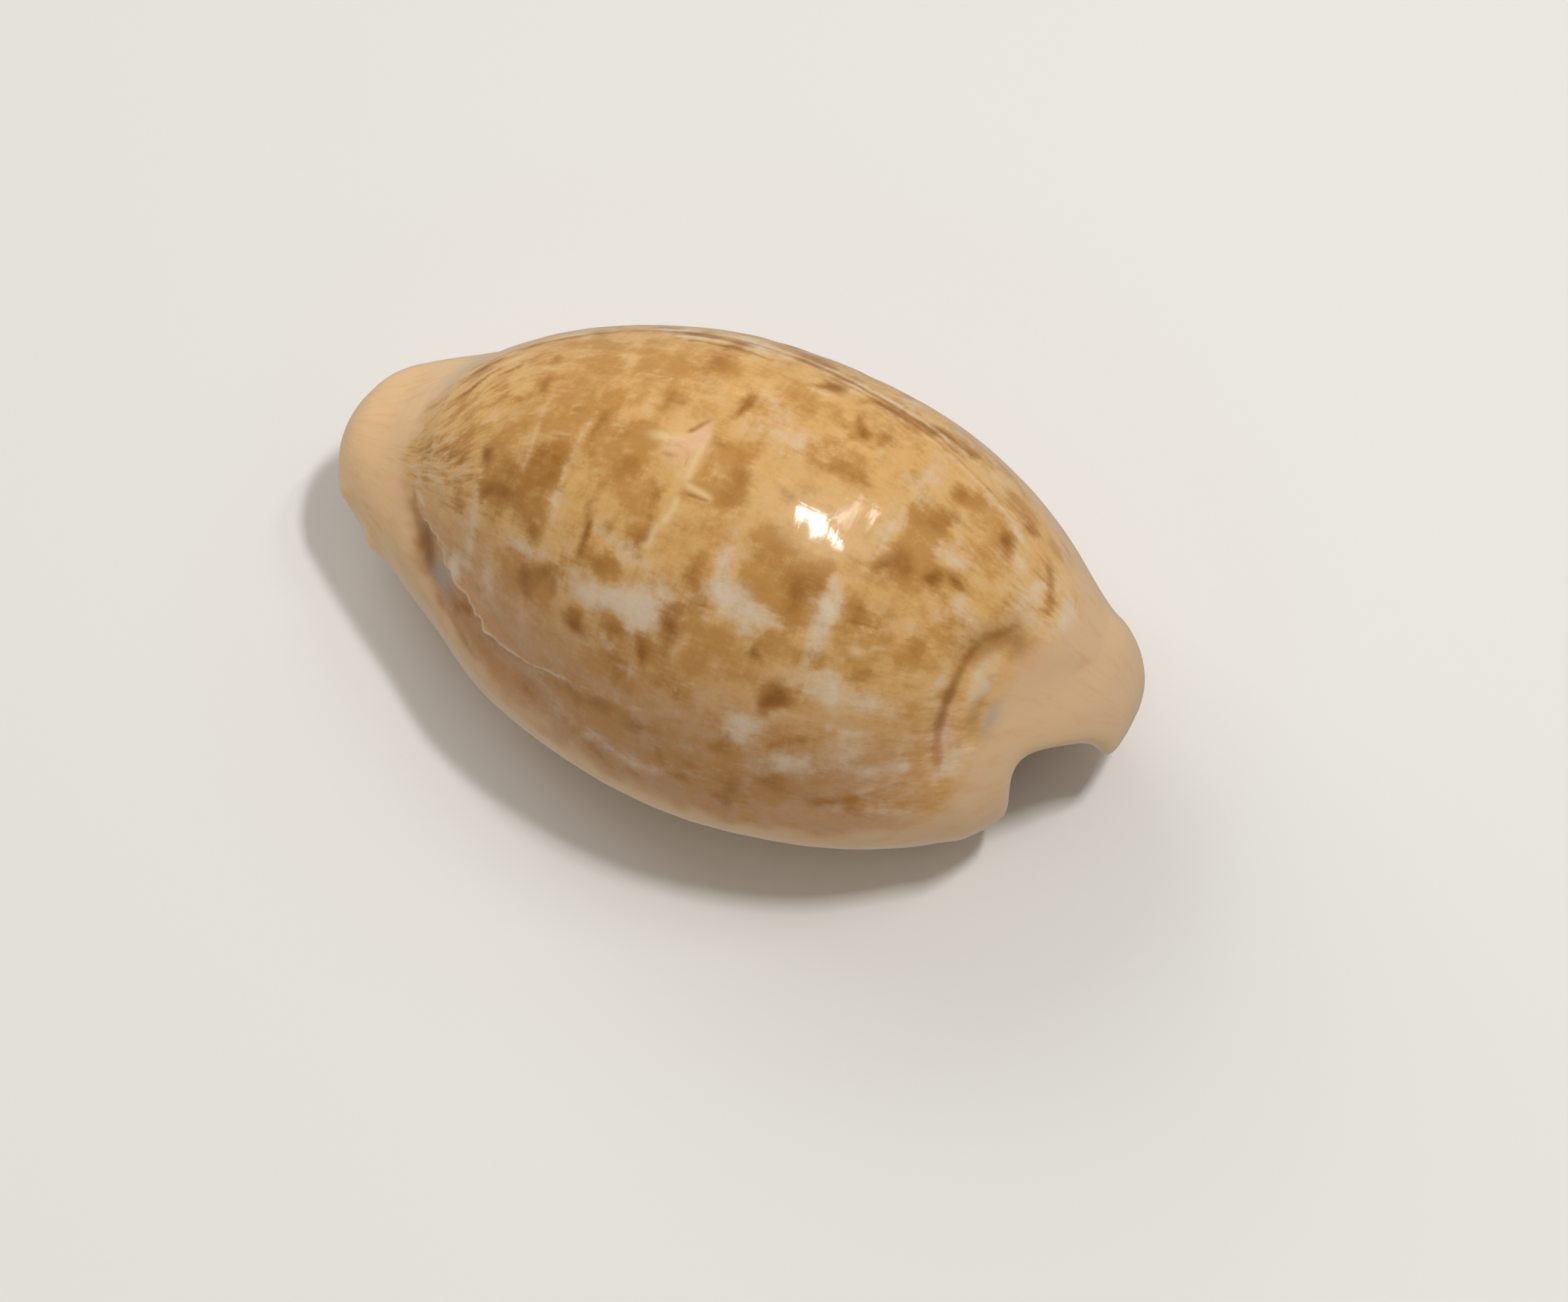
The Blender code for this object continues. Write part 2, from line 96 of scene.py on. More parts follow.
# Aperture, as (share of half the length, share of half the width) along its middle
APERTURE = [(-1.03, 0.13), (-0.80, 0.11), (-0.50, 0.14), (-0.12, 0.19), (0.24, 0.18),
            (0.50, 0.11), (0.70, -0.01), (0.84, -0.14), (1.03, -0.40)]
APERTURE_HALF_WIDTH = [(-1.03, 1.2 * MM), (-0.60, 1.5 * MM), (0.0, 1.15 * MM), (0.55, 0.95 * MM),
                       (0.80, 1.1 * MM), (1.03, 1.4 * MM)]
APERTURE_ROOF = [(-1.03, 2.9 * MM), (-0.90, 3.2 * MM), (-0.75, 4.8 * MM), (-0.60, 6.4 * MM),
                 (0.60, 6.0 * MM), (0.80, 4.6 * MM), (1.03, 4.0 * MM)]
APERTURE_BELOW = -1.0 * MM
APERTURE_SQUARENESS = (1.3, 1.15)
APERTURE_CLOSING = (1.0, 0.985)
LIP_ROLL_HEIGHT = 1.4 * MM
LIP_ROLL_WIDTH = 2.4 * MM
COLUMELLA_LIFT = 0.65 * MM

# Rear canal, a squarish notch between the two rear lobes that leans in under the shell
CANAL_RADIUS = 1.95 * MM
CANAL_MIDDLE = Vector((15.4 * MM, -2.5 * MM, 4.5 * MM))
CANAL_AXIS = Vector((-0.30, 0.52, -0.80))
CANAL_WAY_OUT = Vector((0.50, -0.87, 0.0))
CANAL_LENGTH = 16.0 * MM
CANAL_REACH = 4.0 * MM
CANAL_SQUARENESS = 3.3
CANAL_SHALLOWNESS = 1.4

# Distance from the canal's wall within which its edges are worn round
CANAL_RIM = 2.0 * MM

# Marks on the outside are placed by x in millimetres on a shell of this length, and roll in degrees
MARKED_LENGTH = 33.5 * MM

# Usual distance in mm of the outside from the long axis, for noise that runs round it
MEAN_REACH = 9.0

# Steepness of a spot's sides, and waviness and softness of a field's ends in mm and sides in degrees
SPOT_FALL = 0.6
FIELD_WAVES = (0.22, 2.2)
FIELD_SOFTNESS = (0.3, 2.6)

# Relief of the back, each a path of (x, roll)
SPIRE_GROOVE = [(12.9, 92), (12.2, 97), (11.6, 104), (11.25, 112), (11.1, 122), (11.05, 134),
                (11.15, 145), (11.5, 156), (11.9, 165)]
SPIRE_FLOOR = [(12.9, 98), (12.3, 103), (11.8, 109)]
SPIRE_DOME = [(12.35, 109), (12.05, 115), (11.8, 121), (11.65, 129), (11.7, 140), (12, 152)]
SECOND_GROOVE = [(12.75, 111), (12.35, 118), (12.1, 126), (12.05, 135), (12.3, 145), (12.7, 153)]
OVERLAP_GROOVE = [(-12, 137), (-11.3, 146), (-10.75, 156), (-10, 164), (-8.8, 168), (-7.2, 170)]
OVERLAP_EDGE = [
    (-11.95, 132), (-11.7, 137), (-11.4, 141.5), (-11.15, 144.4), (-10.9, 143.9), (-10.7, 145.8),
    (-10.45, 146.6), (-10.25, 146), (-10.15, 149), (-9.9, 149.4), (-9.75, 151.5), (-9.55, 154.5),
    (-9.25, 154.5), (-9.05, 156.2), (-8.85, 157.4), (-8.5, 157.6), (-8.15, 157.4), (-7.95, 158.9),
    (-7.7, 159.6), (-7.55, 161.1), (-7.25, 160.5), (-7.1, 162), (-6.95, 163.4), (-6.5, 162.6), (-6, 163),
    (-5.3, 162.2), (-4.6, 161.2), (-4, 159.5), (-3.6, 158.3), (-3, 157.2), (-2.2, 155.7), (-1.2, 154.3),
    (-0.3, 153), (0.6, 152), (1.7, 150.8),
]
REAR_ARC = [(7.3, 164.5), (8.3, 166), (9.2, 163.5), (10.2, 159.5), (11.2, 157.5)]
SCAR_LINES = [
    ([(-3, 93.9), (-2.3, 93.9), (-1.6, 93.7), (-1.2, 93), (-0.85, 91.3), (-0.65, 89.8), (-0.42, 86.5)],
     0.13),
    ([(-0.4, 86.8), (-0.38, 91), (-0.4, 96), (-0.42, 100), (-0.45, 102.2)], 0.11),
    ([(-0.55, 101.6), (0, 102.2), (0.5, 102.7), (1, 103.4)], 0.1),
    ([(-0.42, 103.6), (-0.4, 107), (-0.52, 109.6), (-0.75, 112.4)], 0.1),
    ([(-0.6, 110.2), (-0.78, 113), (-0.8, 115.8), (-1.2, 117.6)], 0.12),
]
# Shallow grooves beside the scar's arms, painted dark as shade: below the short cross arm and above-left of
# the upper arm
SCAR_GROOVES_AND_SHADE = [([(-0.4, 103.6), (0.3, 103.6), (0.9, 103.4)], 0.08),
               ([(-1.45, 92.2), (-1, 90.2), (-0.75, 88), (-0.5, 85.8)], 0.14)]
SCAR_SHEET = [
    (-1.7, 93.7, 0.5, 0.9, 0.85), (-0.62, 90.6, 0.26, 2.6, 0.95), (-0.9, 93.6, 0.42, 1.5, 0.9),
    (-1.45, 95.9, 0.3, 1.6, 0.7), (-0.62, 97.2, 0.22, 3.4, 0.8), (-1.1, 98.6, 0.3, 1, 0.6),
]
SCAR_BLUSH = [
    (-0.62, 90.4, 0.24, 2.2, 0.75), (-1.15, 95.6, 0.4, 1.5, 0.8), (-1, 93.2, 0.35, 1, 0.5),
]
SCAR_PITS = [
    (-1.2, 95.2, 0.2, 0.5, 0.7), (-0.8, 96.6, 0.08, 1.3, 0.55), (-1.55, 94.6, 0.07, 0.9, 0.45),
    (-1.4, 97.3, 0.17, 0.5, 0.6), (-0.95, 94, 0.16, 0.4, 0.4), (-1, 98.6, 0.1, 0.6, 0.5),
]
CHIP = [(7.75, 121.7, 0.26, 1.1, 1)]
CHIP_TAIL = [(8, 120.4), (8.4, 119.3), (8.9, 118.3)]

# Two low bumps of the margin at the front
MARGIN_BUMPS = [(-15.5, 172, 0.36, 7, 0.9), (-13.65, 189, 0.42, 9, 1)]

# Edge of the spotted back, inside the plain callus that runs all round
BACK_OUTLINE = [
    (-12.7, 100), (-12.9, 120), (-12.6, 132), (-12, 142), (-11.6, 150), (-11.2, 159), (-10.5, 168),
    (-8.5, 173), (-4, 176), (2, 178), (8, 178), (11.6, 175), (12.2, 167), (12.5, 152), (12.6, 135),
    (12.7, 113), (13.3, 104), (13.7, 92), (13.9, 78), (13.6, 62), (12.4, 50), (9, 43), (4, 41), (-1, 44),
    (-5, 50), (-9, 60), (-11.6, 70), (-12.6, 84),
]

# Broad tan patches between growth lines, as (x from, x to, roll from, roll to, strength)
FIELDS = [
    (-9, -5.1, 62, 84, .22), (-4.9, -0.6, 63, 90, .2), (-0.4, 2.2, 64, 90, .1), (-8.9, -2, 84, 118, .06),
    (-0.4, 2.2, 100, 126, .14), (-6.8, 2.6, 128, 150, .14), (-3.2, 6.2, 153, 172, .24),
    (6.5, 11, 100, 130, .12), (-12.1, -9.6, 103, 114, .34), (-11.8, -9, 88, 101, .2),
    (-8.85, -7.1, 97, 122, .36), (-8.2, -7.1, 82, 97, .38), (-6.95, -5.2, 84, 125, .42),
    (-6.9, -5, 64, 80, .28), (-5, -4.1, 86, 100, .34), (-4.5, -2.5, 69, 79, .3), (-4.3, -2, 92, 107, .46),
    (-2, -0.8, 103, 117, .42), (-2, -1, 66, 79, .36), (-0.3, 1.9, 89.5, 103.5, .46),
    (1, 4, 69, 74.5, .28), (3, 5.7, 79, 88, .34), (2.75, 5.9, 104, 120.5, .54),
    (4.7, 6.9, 123.5, 129, .38), (6.9, 8.6, 109, 124, .38), (7.5, 8.95, 79, 103, .56),
    (8.3, 9.4, 66, 76, .46), (9.3, 11.1, 68, 79, .36), (9.2, 10, 108, 124, .3), (10, 11.1, 104, 113, .34),
    (9.9, 11.1, 80, 91, .24), (-8.2, -6.7, 122, 139, .12), (-6.6, -4, 130, 141, .5),
    (-3.4, -1.6, 120, 126, .44), (0.8, 2, 117, 127, .46), (1.7, 4.9, 126, 137, .34),
    (-1.8, 0.6, 134, 139.5, .5), (1, 2.6, 138, 146, .36), (-2, 0.1, 142, 149, .36),
    (-3.7, 0.2, 157, 167, .4), (1.3, 3.8, 160, 170, .36), (3.9, 5.2, 157, 173, .5),
    (5.2, 7, 160, 168, .46), (5.3, 7.5, 145, 152, .42), (7.3, 8.1, 152, 161, .3),
    (8.4, 9.5, 163, 171, .38), (9.5, 12, 158, 168, .24), (10.4, 11.4, 140, 156, .28),
    (9.6, 10.5, 131, 141, .2), (3.5, 4.9, 149, 156, .36),
]

# Brown blotches, as (x, roll, half length in mm, half height in degrees, strength)
BLOTCHES = [
    (-11.9, 112, .3, 4, .5), (-10.5, 110, .8, 3, .42), (-10.5, 130, .4, 4.5, .35),
    (-9.5, 118, .28, 6, .55), (-9.3, 125, .4, 4, .38), (-8.9, 92, .5, 1.8, .38),
    (-8.65, 106.5, .22, 2.8, .85), (-8.3, 163.3, .5, 3.5, .6), (-8.15, 119.5, .3, 3, .55),
    (-7.8, 75, .3, 4, .45), (-7.6, 86, .4, 4, .55), (-7.5, 110, .55, 4, .48), (-7.6, 117, .6, 5, .76),
    (-7.4, 172, .9, 1.2, .5), (-6, 107, .85, 4.5, .74), (-6.2, 117, .7, 5, .42), (-5.6, 90, .5, 3, .38),
    (-5.45, 122.5, .35, 2, .65), (-5.2, 135.5, .5, 3, .7), (-4.5, 95, .22, 5.5, .65),
    (-4.4, 132, .5, 2.3, .8), (-4.4, 169, .4, 1.5, .35), (-3.45, 118.5, .27, 5.5, .85),
    (-3.5, 95, .5, 2.5, .34), (-3, 139, .45, 2.2, .85), (-2.8, 102.5, .6, 3, .52),
    (-2.4, 114, .4, 2.5, .54), (-2.3, 123, .6, 2.2, .54), (-2.2, 84, .3, 3.5, .48),
    (-2.2, 161, .45, 1.4, .52), (-1.6, 75.5, .35, 3, .38), (-1.3, 69, .45, 3.5, .65),
    (-1.2, 174.5, .5, 1.2, .45), (-1.15, 115, .25, 3.2, .75), (-1.1, 106, .4, 3.5, .54),
    (-1.1, 136.8, .5, 2, .7), (-1.1, 158.5, .3, 2.3, .46), (-0.6, 146, .5, 3, .54), (0.1, 91, .4, 2, .54),
    (0.12, 79.8, .27, 3.8, .85), (0.1, 137, .3, 2.2, .9), (0.7, 157, .6, 2.3, .64),
    (1, 174.5, .4, 1.1, .35), (1.1, 131.5, .35, 4.2, .86), (1.4, 121.5, .4, 5, .54),
    (1.45, 97.5, .35, 5, .54), (1.6, 164, .3, 2.5, .52), (1.8, 142, .6, 2.5, .44),
    (2.3, 168.3, .6, 1.6, .52), (2.7, 62.5, .45, 2.3, .85), (3.2, 164, .35, 2.3, .52),
    (3.3, 95.5, .5, 1.7, .54), (4, 110, 1, 4, .38), (4, 152, .45, 3.5, .54), (4.2, 82, .5, 4, .44),
    (4.35, 129, .32, 2.2, .9), (4.4, 71, .38, 3.5, .85), (4.45, 165, .45, 4.5, .64),
    (4.5, 171, .4, 2, .52), (4.7, 60, .5, 2, .58), (5.1, 115, .42, 5, .82), (5.25, 69, .3, 4.5, .65),
    (5.4, 84.8, .4, 2, .54), (5.45, 138.8, .5, 3.6, 1), (5.6, 110.5, .4, 3, .54), (6, 162, .55, 2, .68),
    (6.3, 126.5, .45, 2, .44), (7.2, 113, .5, 3, .48), (7.9, 99.5, .7, 3, .8), (8, 165, .6, 1.6, .62),
    (8.2, 83.5, .5, 4, .6), (8.5, 127.5, .5, 2, .44), (8.9, 69.5, .7, 2.6, .55), (9, 78, .6, 2, .7),
    (9.1, 168, .35, 3, .58), (9.4, 97.6, .3, 2.5, .85), (9.6, 116, .4, 4, .38),
    (10.2, 94.5, .5, 1.9, .75), (10.9, 72.5, .3, 4.5, .8), (10.9, 107, .3, 4, .44),
]

# Whitish patches, in the same terms
PALE_PATCHES = [
    (-12, 125, .3, 6, .5), (-11.5, 136.5, .18, 5, .65), (-11, 120, .5, 4, .45), (-9.8, 148, .3, 2, .8),
    (-8.95, 153, .32, 4.5, .95), (-8.6, 135, .3, 14, .32), (-7.3, 145, .4, 6, .5),
    (-5.9, 127.3, .7, 1.8, .8), (-4.9, 117, .25, 5, .45), (-3.9, 125, .4, 4, .4),
    (-2.3, 118, .8, 1.3, .55), (-1.8, 130.3, 1.3, 3, .9), (-1.5, 170, 1.3, 1.8, .32),
    (-1.3, 140.3, .3, 2, .55), (-1.2, 120.5, .7, 1.8, .45), (-0.1, 128, .9, 3.6, 1),
    (0.1, 143, .45, 1.5, .5), (0.45, 123, .35, 2, .65), (0.9, 170, .7, 2.3, .42),
    (1.2, 84.5, .6, 2.5, .34), (1.3, 78, 1, 3, .38), (2.25, 113, .3, 6, .65), (2.5, 84, .6, 4, .38),
    (2.7, 119, .5, 2.8, .85), (3.6, 122.2, 1, 2.2, 1), (4.2, 144.5, .3, 2, .5), (4.6, 148, .7, 3.2, .75),
    (6.3, 117, .35, 6.5, 1), (6.6, 154.5, .75, 2.8, .64), (6.8, 133, .9, 3, .66), (7.1, 78, .5, 2.3, .5),
    (7.2, 92, .4, 5, .55), (7.4, 129.7, .4, 1.6, .44), (7.5, 71, .35, 5, .44), (8, 141.5, 1, 1.3, .38),
    (8.3, 150, .7, 6, .38), (8.8, 133, .9, 2.2, .64), (9.4, 155, .5, 4, .34), (9.4, 87.5, .5, 4, .44),
    (9.6, 91, .6, 1.6, .36), (9.9, 65, .6, 1.6, .44), (10, 167, .8, 3.5, .38), (10.3, 151, .3, 5, .38),
    (10.4, 102, .8, 3.5, .46), (10.8, 125, .2, 4, .55), (11.5, 75, .3, 6, .4), (12.1, 88, .45, 6, .6),
    (13.9, 80, .4, 12, .55), (11.95, 120, .26, 8, .9), (12.9, 66, .25, 8, .4), (11.35, 139, .3, 7, .6),
    (11.85, 149, .45, 6, .65), (13.5, 80, .28, 10, .8), (12.4, 77, .22, 8, .6), (10.9, 71, .22, 8, .5),
    (12.9, 92, .4, 4, .45),
]

# Long streaks, as (path, half width in mm, strength); a minus strength is pale
STREAKS = [
    ([(-12.3, 83), (-11.4, 78.5), (-10.6, 72.5), (-9.9, 68.5)], 0.28, .66),
    ([(-10.5, 71), (-9.6, 67), (-8.6, 63.5), (-7, 60.5), (-5, 59)], 0.16, .62),
    ([(-10.95, 87.5), (-10.6, 83.5), (-10.35, 81)], 0.12, .75),
    ([(-10.3, 82.5), (-9.8, 80.5), (-9.3, 79), (-9, 77)], 0.13, .62),
    ([(-9.1, 74), (-8.9, 71.5)], 0.13, .45),
    ([(-4.2, 62.6), (-2.6, 62.6), (-1.2, 62.4), (0.9, 62.8)], 0.12, .6),
    ([(-4.6, 58.6), (-2.5, 58.4), (-0.5, 58.6)], 0.16, .7),
    ([(-8, 60), (-4, 57.2), (1, 56.6), (6, 57.4), (10.5, 60.5)], 0.13, .55),
    ([(-7, 57.6), (-1, 54.6), (5, 55.2), (11.5, 57.5)], 0.15, -.6),
    ([(1, 59.4), (5, 59.6), (9, 61.5), (11.8, 66.5)], 0.11, .45),
    ([(2, 61), (6, 61.4), (10, 64), (12, 70)], 0.12, -.45),
    ([(2.9, 61), (2.4, 64.5), (1.5, 67)], 0.2, .55),
    ([(5.5, 152), (6.3, 148.3), (7.3, 145.4)], 0.26, .55),
    ([(7.1, 112.6), (7.8, 112), (8.5, 111.5)], 0.1, .45),
    ([(7, 115.4), (7.8, 115), (8.6, 113.8)], 0.11, .55),
    ([(12, 58), (12.5, 68), (12.95, 79), (13.1, 90)], 0.24, .52),
    ([(13.45, 58), (13.65, 68), (13.85, 76)], 0.06, .45),
    ([(7.4, 163.5), (8.2, 166), (9.1, 163.5), (10.2, 159.5), (11.1, 158)], 0.16, .45),
    ([(-11.9, 146), (-11.5, 155), (-10.95, 164), (-10.2, 169.5), (-8, 171.5), (-5, 172)], 0.2, .38),
    ([(-4.9, 72), (-4.9, 80), (-4.95, 90), (-5.1, 100), (-5.15, 112), (-5.2, 122)], 0.13, -.36),
    ([(-7.05, 84), (-7.1, 94), (-6.95, 104), (-6.9, 122)], 0.11, -.32),
    ([(-8.1, 73), (-8.1, 83), (-8.1, 96)], 0.1, -.26),
    ([(-8.85, 111), (-8.7, 120), (-8.5, 130), (-8.35, 142), (-8.4, 152)], 0.18, -.34),
    ([(-9.95, 114), (-9.95, 124), (-9.8, 134)], 0.1, -.28),
    ([(-12.9, 98), (-12.75, 88), (-12.4, 77.5), (-11.5, 73.5), (-10.4, 68.5), (-9.2, 64.5)], 0.17, -.8),
    ([(-12.4, 94.5), (-11.7, 86.5), (-10.9, 80.5)], 0.13, -.6),
    ([(-12.2, 71), (-11, 67), (-9.6, 62.5), (-8.2, 60.5)], 0.13, -.7),
    ([(-11.3, 90.5), (-10.9, 86.6), (-10.3, 79.5), (-9.6, 75)], 0.11, .6),
    ([(-12, 72.5), (-11, 70), (-9.9, 65.8), (-8.8, 62.6)], 0.1, .75),
    ([(-10.3, 76.5), (-9.7, 73.5), (-9, 70.5)], 0.2, -.55),
    ([(-10.6, 90), (-9.8, 86.5), (-8.7, 84)], 0.16, -.4),
    ([(-10, 101), (-9.3, 98.5), (-8.8, 96.5)], 0.12, -.32),
    ([(-6.4, 98.6), (-5.9, 98.7), (-5.4, 98.4)], 0.1, -.4),
    ([(-4.6, 79.3), (-3.6, 79.2), (-2.4, 79)], 0.08, -.35),
    ([(1.8, 67.5), (2.5, 67.2), (3, 66.2)], 0.1, -.55),
    ([(-5, 60.6), (-2.5, 60.4), (-0.2, 60.6)], 0.16, -.6),
    ([(5.6, 79), (5.6, 73), (5.9, 67)], 0.12, -.42),
    ([(-3.4, 160.2), (-2.2, 157), (-1, 154.6), (0.4, 152.6), (1.7, 151.4)], 0.16, -.2),
    ([(7, 105), (7.15, 97), (7.3, 86)], 0.1, -.28),
    ([(2.1, 112), (2.2, 118), (2.8, 122)], 0.24, -.5),
    ([(-5.2, 166), (-4.2, 163.5), (-3.2, 160.8), (-2, 158.4), (-0.6, 156), (1, 154.2)], 0.3, .42),
]

# Dark marks in the grooves and below the last layer's edge, partly the darker old surface that the layer
# leaves bare and partly painted shade, and other small tints
STAINS_AND_SHADE = [
    ([(-11.35, 142), (-11.05, 147.5), (-10.7, 153), (-10.5, 158), (-10.3, 163), (-10.1, 167)], 0.42, .95),
    ([(-9.8, 159), (-9, 163), (-7.8, 167), (-6, 169.5), (-3.5, 171)], 0.45, .42),
    # These three darken the spire groove and the second groove: partly brown colour, partly painted shade
    ([(12.9, 94), (12.3, 99), (11.75, 105), (11.4, 112), (11.2, 121)], 0.42, .62),
    ([(11.3, 112), (11.15, 122), (11.05, 132), (11.05, 140), (11.25, 150)], 0.16, .62),
    ([(12.3, 119), (12.05, 128), (12.05, 136), (12.25, 146)], 0.18, .34),
]
STAIN_AND_SHADE_ENDS = 0.35
STAIN_AND_SHADE_SPOTS = [(12.3, 99, .4, 5, .45), (12.7, 103, .3, 4, .4), (-11.85, 136, .14, 4, .4),
               (-8.3, 163.3, .45, 3, .5), (-10.85, 154, .32, 7, .85)]
GREY_SPOTS = [(-9.6, 160.5, 0.45, 4.5, .8), (12.55, 135, 0.2, 6, .55)]
PINK_SPOTS = [(13.1, 106, 0.4, 4, .4), (-12.9, 138, 0.4, 6, .4), (11.35, 143, 0.22, 9, .3)]

# Where the growth fibres begin to fan out towards the front, and the stretch over which they turn, in mm
FAN_START = -7.5
FAN_RISE = 2.5

# Teeth along both sides of the aperture
LIP_TEETH_SPAN = (-0.80, 0.72)
COLUMELLA_TEETH_SPAN = (-0.78, 0.62)
TOOTH_FAN = 0.35
TOOTH_DEPTH = 1.5 * MM
TOOTH_EDGE = 0.5 * MM
TOOTH_INNER = -1.0 * MM
TOOTH_LEAST_ROOM = 1.0 * MM
DARK_CREST = (0.45, 0.95)
DARK_STRENGTH = (0.05, 0.7)
LIP_TOOTH_SHARE = 0.62
COLUMELLA_TOOTH_SHARE = 0.74

# Depth in mm of the spire groove, and its half widths towards the middle of the shell and towards the rear
SPIRE_GROOVE_DEPTH = 0.32
SPIRE_GROOVE_WIDTHS = (0.34, 0.50)

# Ridges and grooves, as (height in mm, path, half width in mm, share of the path that runs out at each end)
RELIEF = [(-0.34, SPIRE_FLOOR, 0.80, 0.45), (0.10, SPIRE_DOME, 0.36, 0.3), (-0.12, SECOND_GROOVE, 0.22, 0.35),
          (0.04, REAR_ARC, 0.25, 0.4), (-0.24, OVERLAP_GROOVE, 0.70, 0.3)]
SCAR_RELIEF = ([(0.013, path, width, 0.4) for path, width in SCAR_LINES]
               + [(-0.035, path, width, 0.3) for path, width in SCAR_GROOVES_AND_SHADE])

# Stretches over which a path's start and end run out, as shares of the path
SPIRE_GROOVE_ENDS = ((0.0, 0.25), (1.0, 0.65))
OVERLAP_ENDS = ((0.0, 0.08), (1.0, 0.6))
PALE_AND_LIT_EDGE_ENDS = ((0.03, 0.1), (1.0, 0.8))

# Slopes of the last layer's edge, in mm from it, on the layer and on the old surface
OVERLAP_SLOPES = ((1.6, 0.1), (0.07, 0.0))

# Width in mm of that layer's pale edge, partly its own whitish colour and partly a painted highlight on its
# lit rim
PALE_AND_LIT_EDGE_WIDTH = 0.15

# How far in mm from a path its relief is looked for
RELIEF_REACH = 3.0

# Heights in mm of the last layer's edge and of the raised spots
OVERLAP_HEIGHT = 0.15
SHEET_HEIGHT = 0.020
CHIP_HEIGHT = 0.05
CHIP_TAIL_HEIGHT = 0.02
BUMP_HEIGHT = 0.24

# Growth lines, as (share of their height, lattice steps a mm along the shell and around it, seed)
GROWTH_LINES = [(1.0, 1.3, 0.35, 11), (0.6, 0.4, 1.5, 12), (0.5, 2.4, 0.8, 13)]

# Where the surface is laid on its true form: from none to all between each pair of depths under the
# outside, distances from the canal's wall and from the aperture's edge, and shares of half the length
OUTER_DEPTHS = (0.50 * MM, 0.20 * MM)
CANAL_DISTANCES = (0.9 * MM, 2.3 * MM)
APERTURE_DISTANCES = (1.1 * MM, 0.4 * MM)
POLE_SHARES = (1.0, 0.985)

# Softness of the edge round the flats that the shell rests on
FLAT_EDGE = 0.08 * MM

# What counts as the smooth room inside, and the share of its faces that is kept
ROOM_DEPTH = 1.2 * MM
ROOM_FROM_CANAL = 1.0 * MM
ROOM_FLOOR = 4.0 * MM
ROOM_KEPT = 0.12

# Half width in mm of the soft edge where the callus hides the back, in general and on the far side
CALLUS_FADE = 0.45
CALLUS_FADE_FAR = 1.0

# Waves of that edge, as (height in mm, lattice steps a mm along the shell and around it, seed)
CALLUS_WAVES = (0.25, 1.5, 1.5, 51)
CALLUS_WAVES_FAR = (0.5, 0.9, 2.5, 52)

# Depth in mm from which the wall is coloured as the inside, in general and under the columella, and its fade
INSIDE_FROM = (1.5, 0.9)
INSIDE_FADE = 0.5

# Colour of the scar, as (strength, path, half width in mm, share of the path that runs out at each end)
SCAR_TINTS = ([(0.80, path, 1.6 * width, 0.25) for path, width in SCAR_LINES]
              + [(0.45, CHIP_TAIL, 0.10, 0.4), (0.55, SPIRE_DOME[:4], 0.24, 0.3)])

# Ranges of the marks drawn by chance on the far side: shift along, roll, length or half length in mm,
# height or half height in degrees, and strength
HIDDEN_FIELD = ((-0.5, 0.2), (42, 54), (1.0, 2.2), (5, 11), (0.25, 0.5))
HIDDEN_BLOTCH = ((-0.6, 0.6), (43, 60), (0.25, 0.6), (2, 4), (0.4, 0.85))
HIDDEN_PALE = ((-0.8, 0.8), (43, 60), (0.3, 0.8), (2, 4), (0.2, 0.6))

# Tints that come in along the shell and around it, each between two values of x in mm and of roll in degrees;
# every roll is above ALL_ROUND
ALL_ROUND = (-92, -91)
# The front tint makes the front callus warmer and, as painted light, lighter
TINTS = {"rosy": ((14.0, 9.0), (118, 165)), "front": ((-10.0, -14.0), ALL_ROUND),
         "fanned": ((-7.5, -10.5), (135, 115)), "cream": ((-8.0, -10.5), (112, 98))}

# Where the fan of the fibres, the colour of the inside and the far side come in, in degrees or in mm of x
FAN_ROLL = (135, 110)
INSIDE_X = (-12.5, -11.8)
FAR_SIDE_ROLL = (62, 50)

# Noises of the skin, as (waves a mm along the shell, around it and inwards, detail, roughness)
FIBRES = ((0.55, 5.0, 0.6), 5.0, 0.6)
THREADS = ((3.0, 0.35, 0.6), 5.0, 0.6)
GRAIN = ((2.4, 5.5, 3.0), 6.0, 0.7)
CLOUDS = ((0.9, 1.1, 0.4), 5.0, 0.65)

# How strongly fibres, threads and clouds make the edges of the markings ragged, and how much more in front
RAGGED = (0.8, 0.5, 2.4)
RAGGED_IN_FRONT = 1.9

# Layers of the back over its ground, as (marking, share of the raggedness, strength at which the layer
# starts and is full, most that it covers, colour)
BACK_LAYERS = [("field", 0.70, -0.12, 0.60, 0.90, "tan"), ("pale", -0.62, 0.02, 1.10, 0.95, "pale"),
               ("brown", 0.38, 0.10, 0.80, 0.90, "brown"), ("brown", 0.38, 0.60, 1.05, 0.70, "deep_brown")]
GLAZE = {"Specular IOR Level": 0.2, "Coat Weight": 0.5, "Coat IOR": 1.45, "Subsurface Weight": 0.12,
         "Subsurface Radius": (1.0, 0.5, 0.25), "Subsurface Scale": 0.5 * MM}

# Soft lights, as (name, direction, distance, width, height, spin in degrees); each power is on the panel
LIGHTS = [("key", (0.29, 0.17, 0.94), 0.40, 0.070, 0.035, 0.0),
          ("fill", (-0.78, 0.48, 0.60), 0.80, 0.70, 0.50, 0.0),
          ("strip", (0.354, 0.38, 0.855), 0.40, 0.014, 0.10, 40.0)]
STUDIO_TINT = (1.0, 0.95, 0.87)
STUDIO_STRENGTH = 0.38
LOOKED_AT = (3.72 * MM, -2.3 * MM, 6.0 * MM)

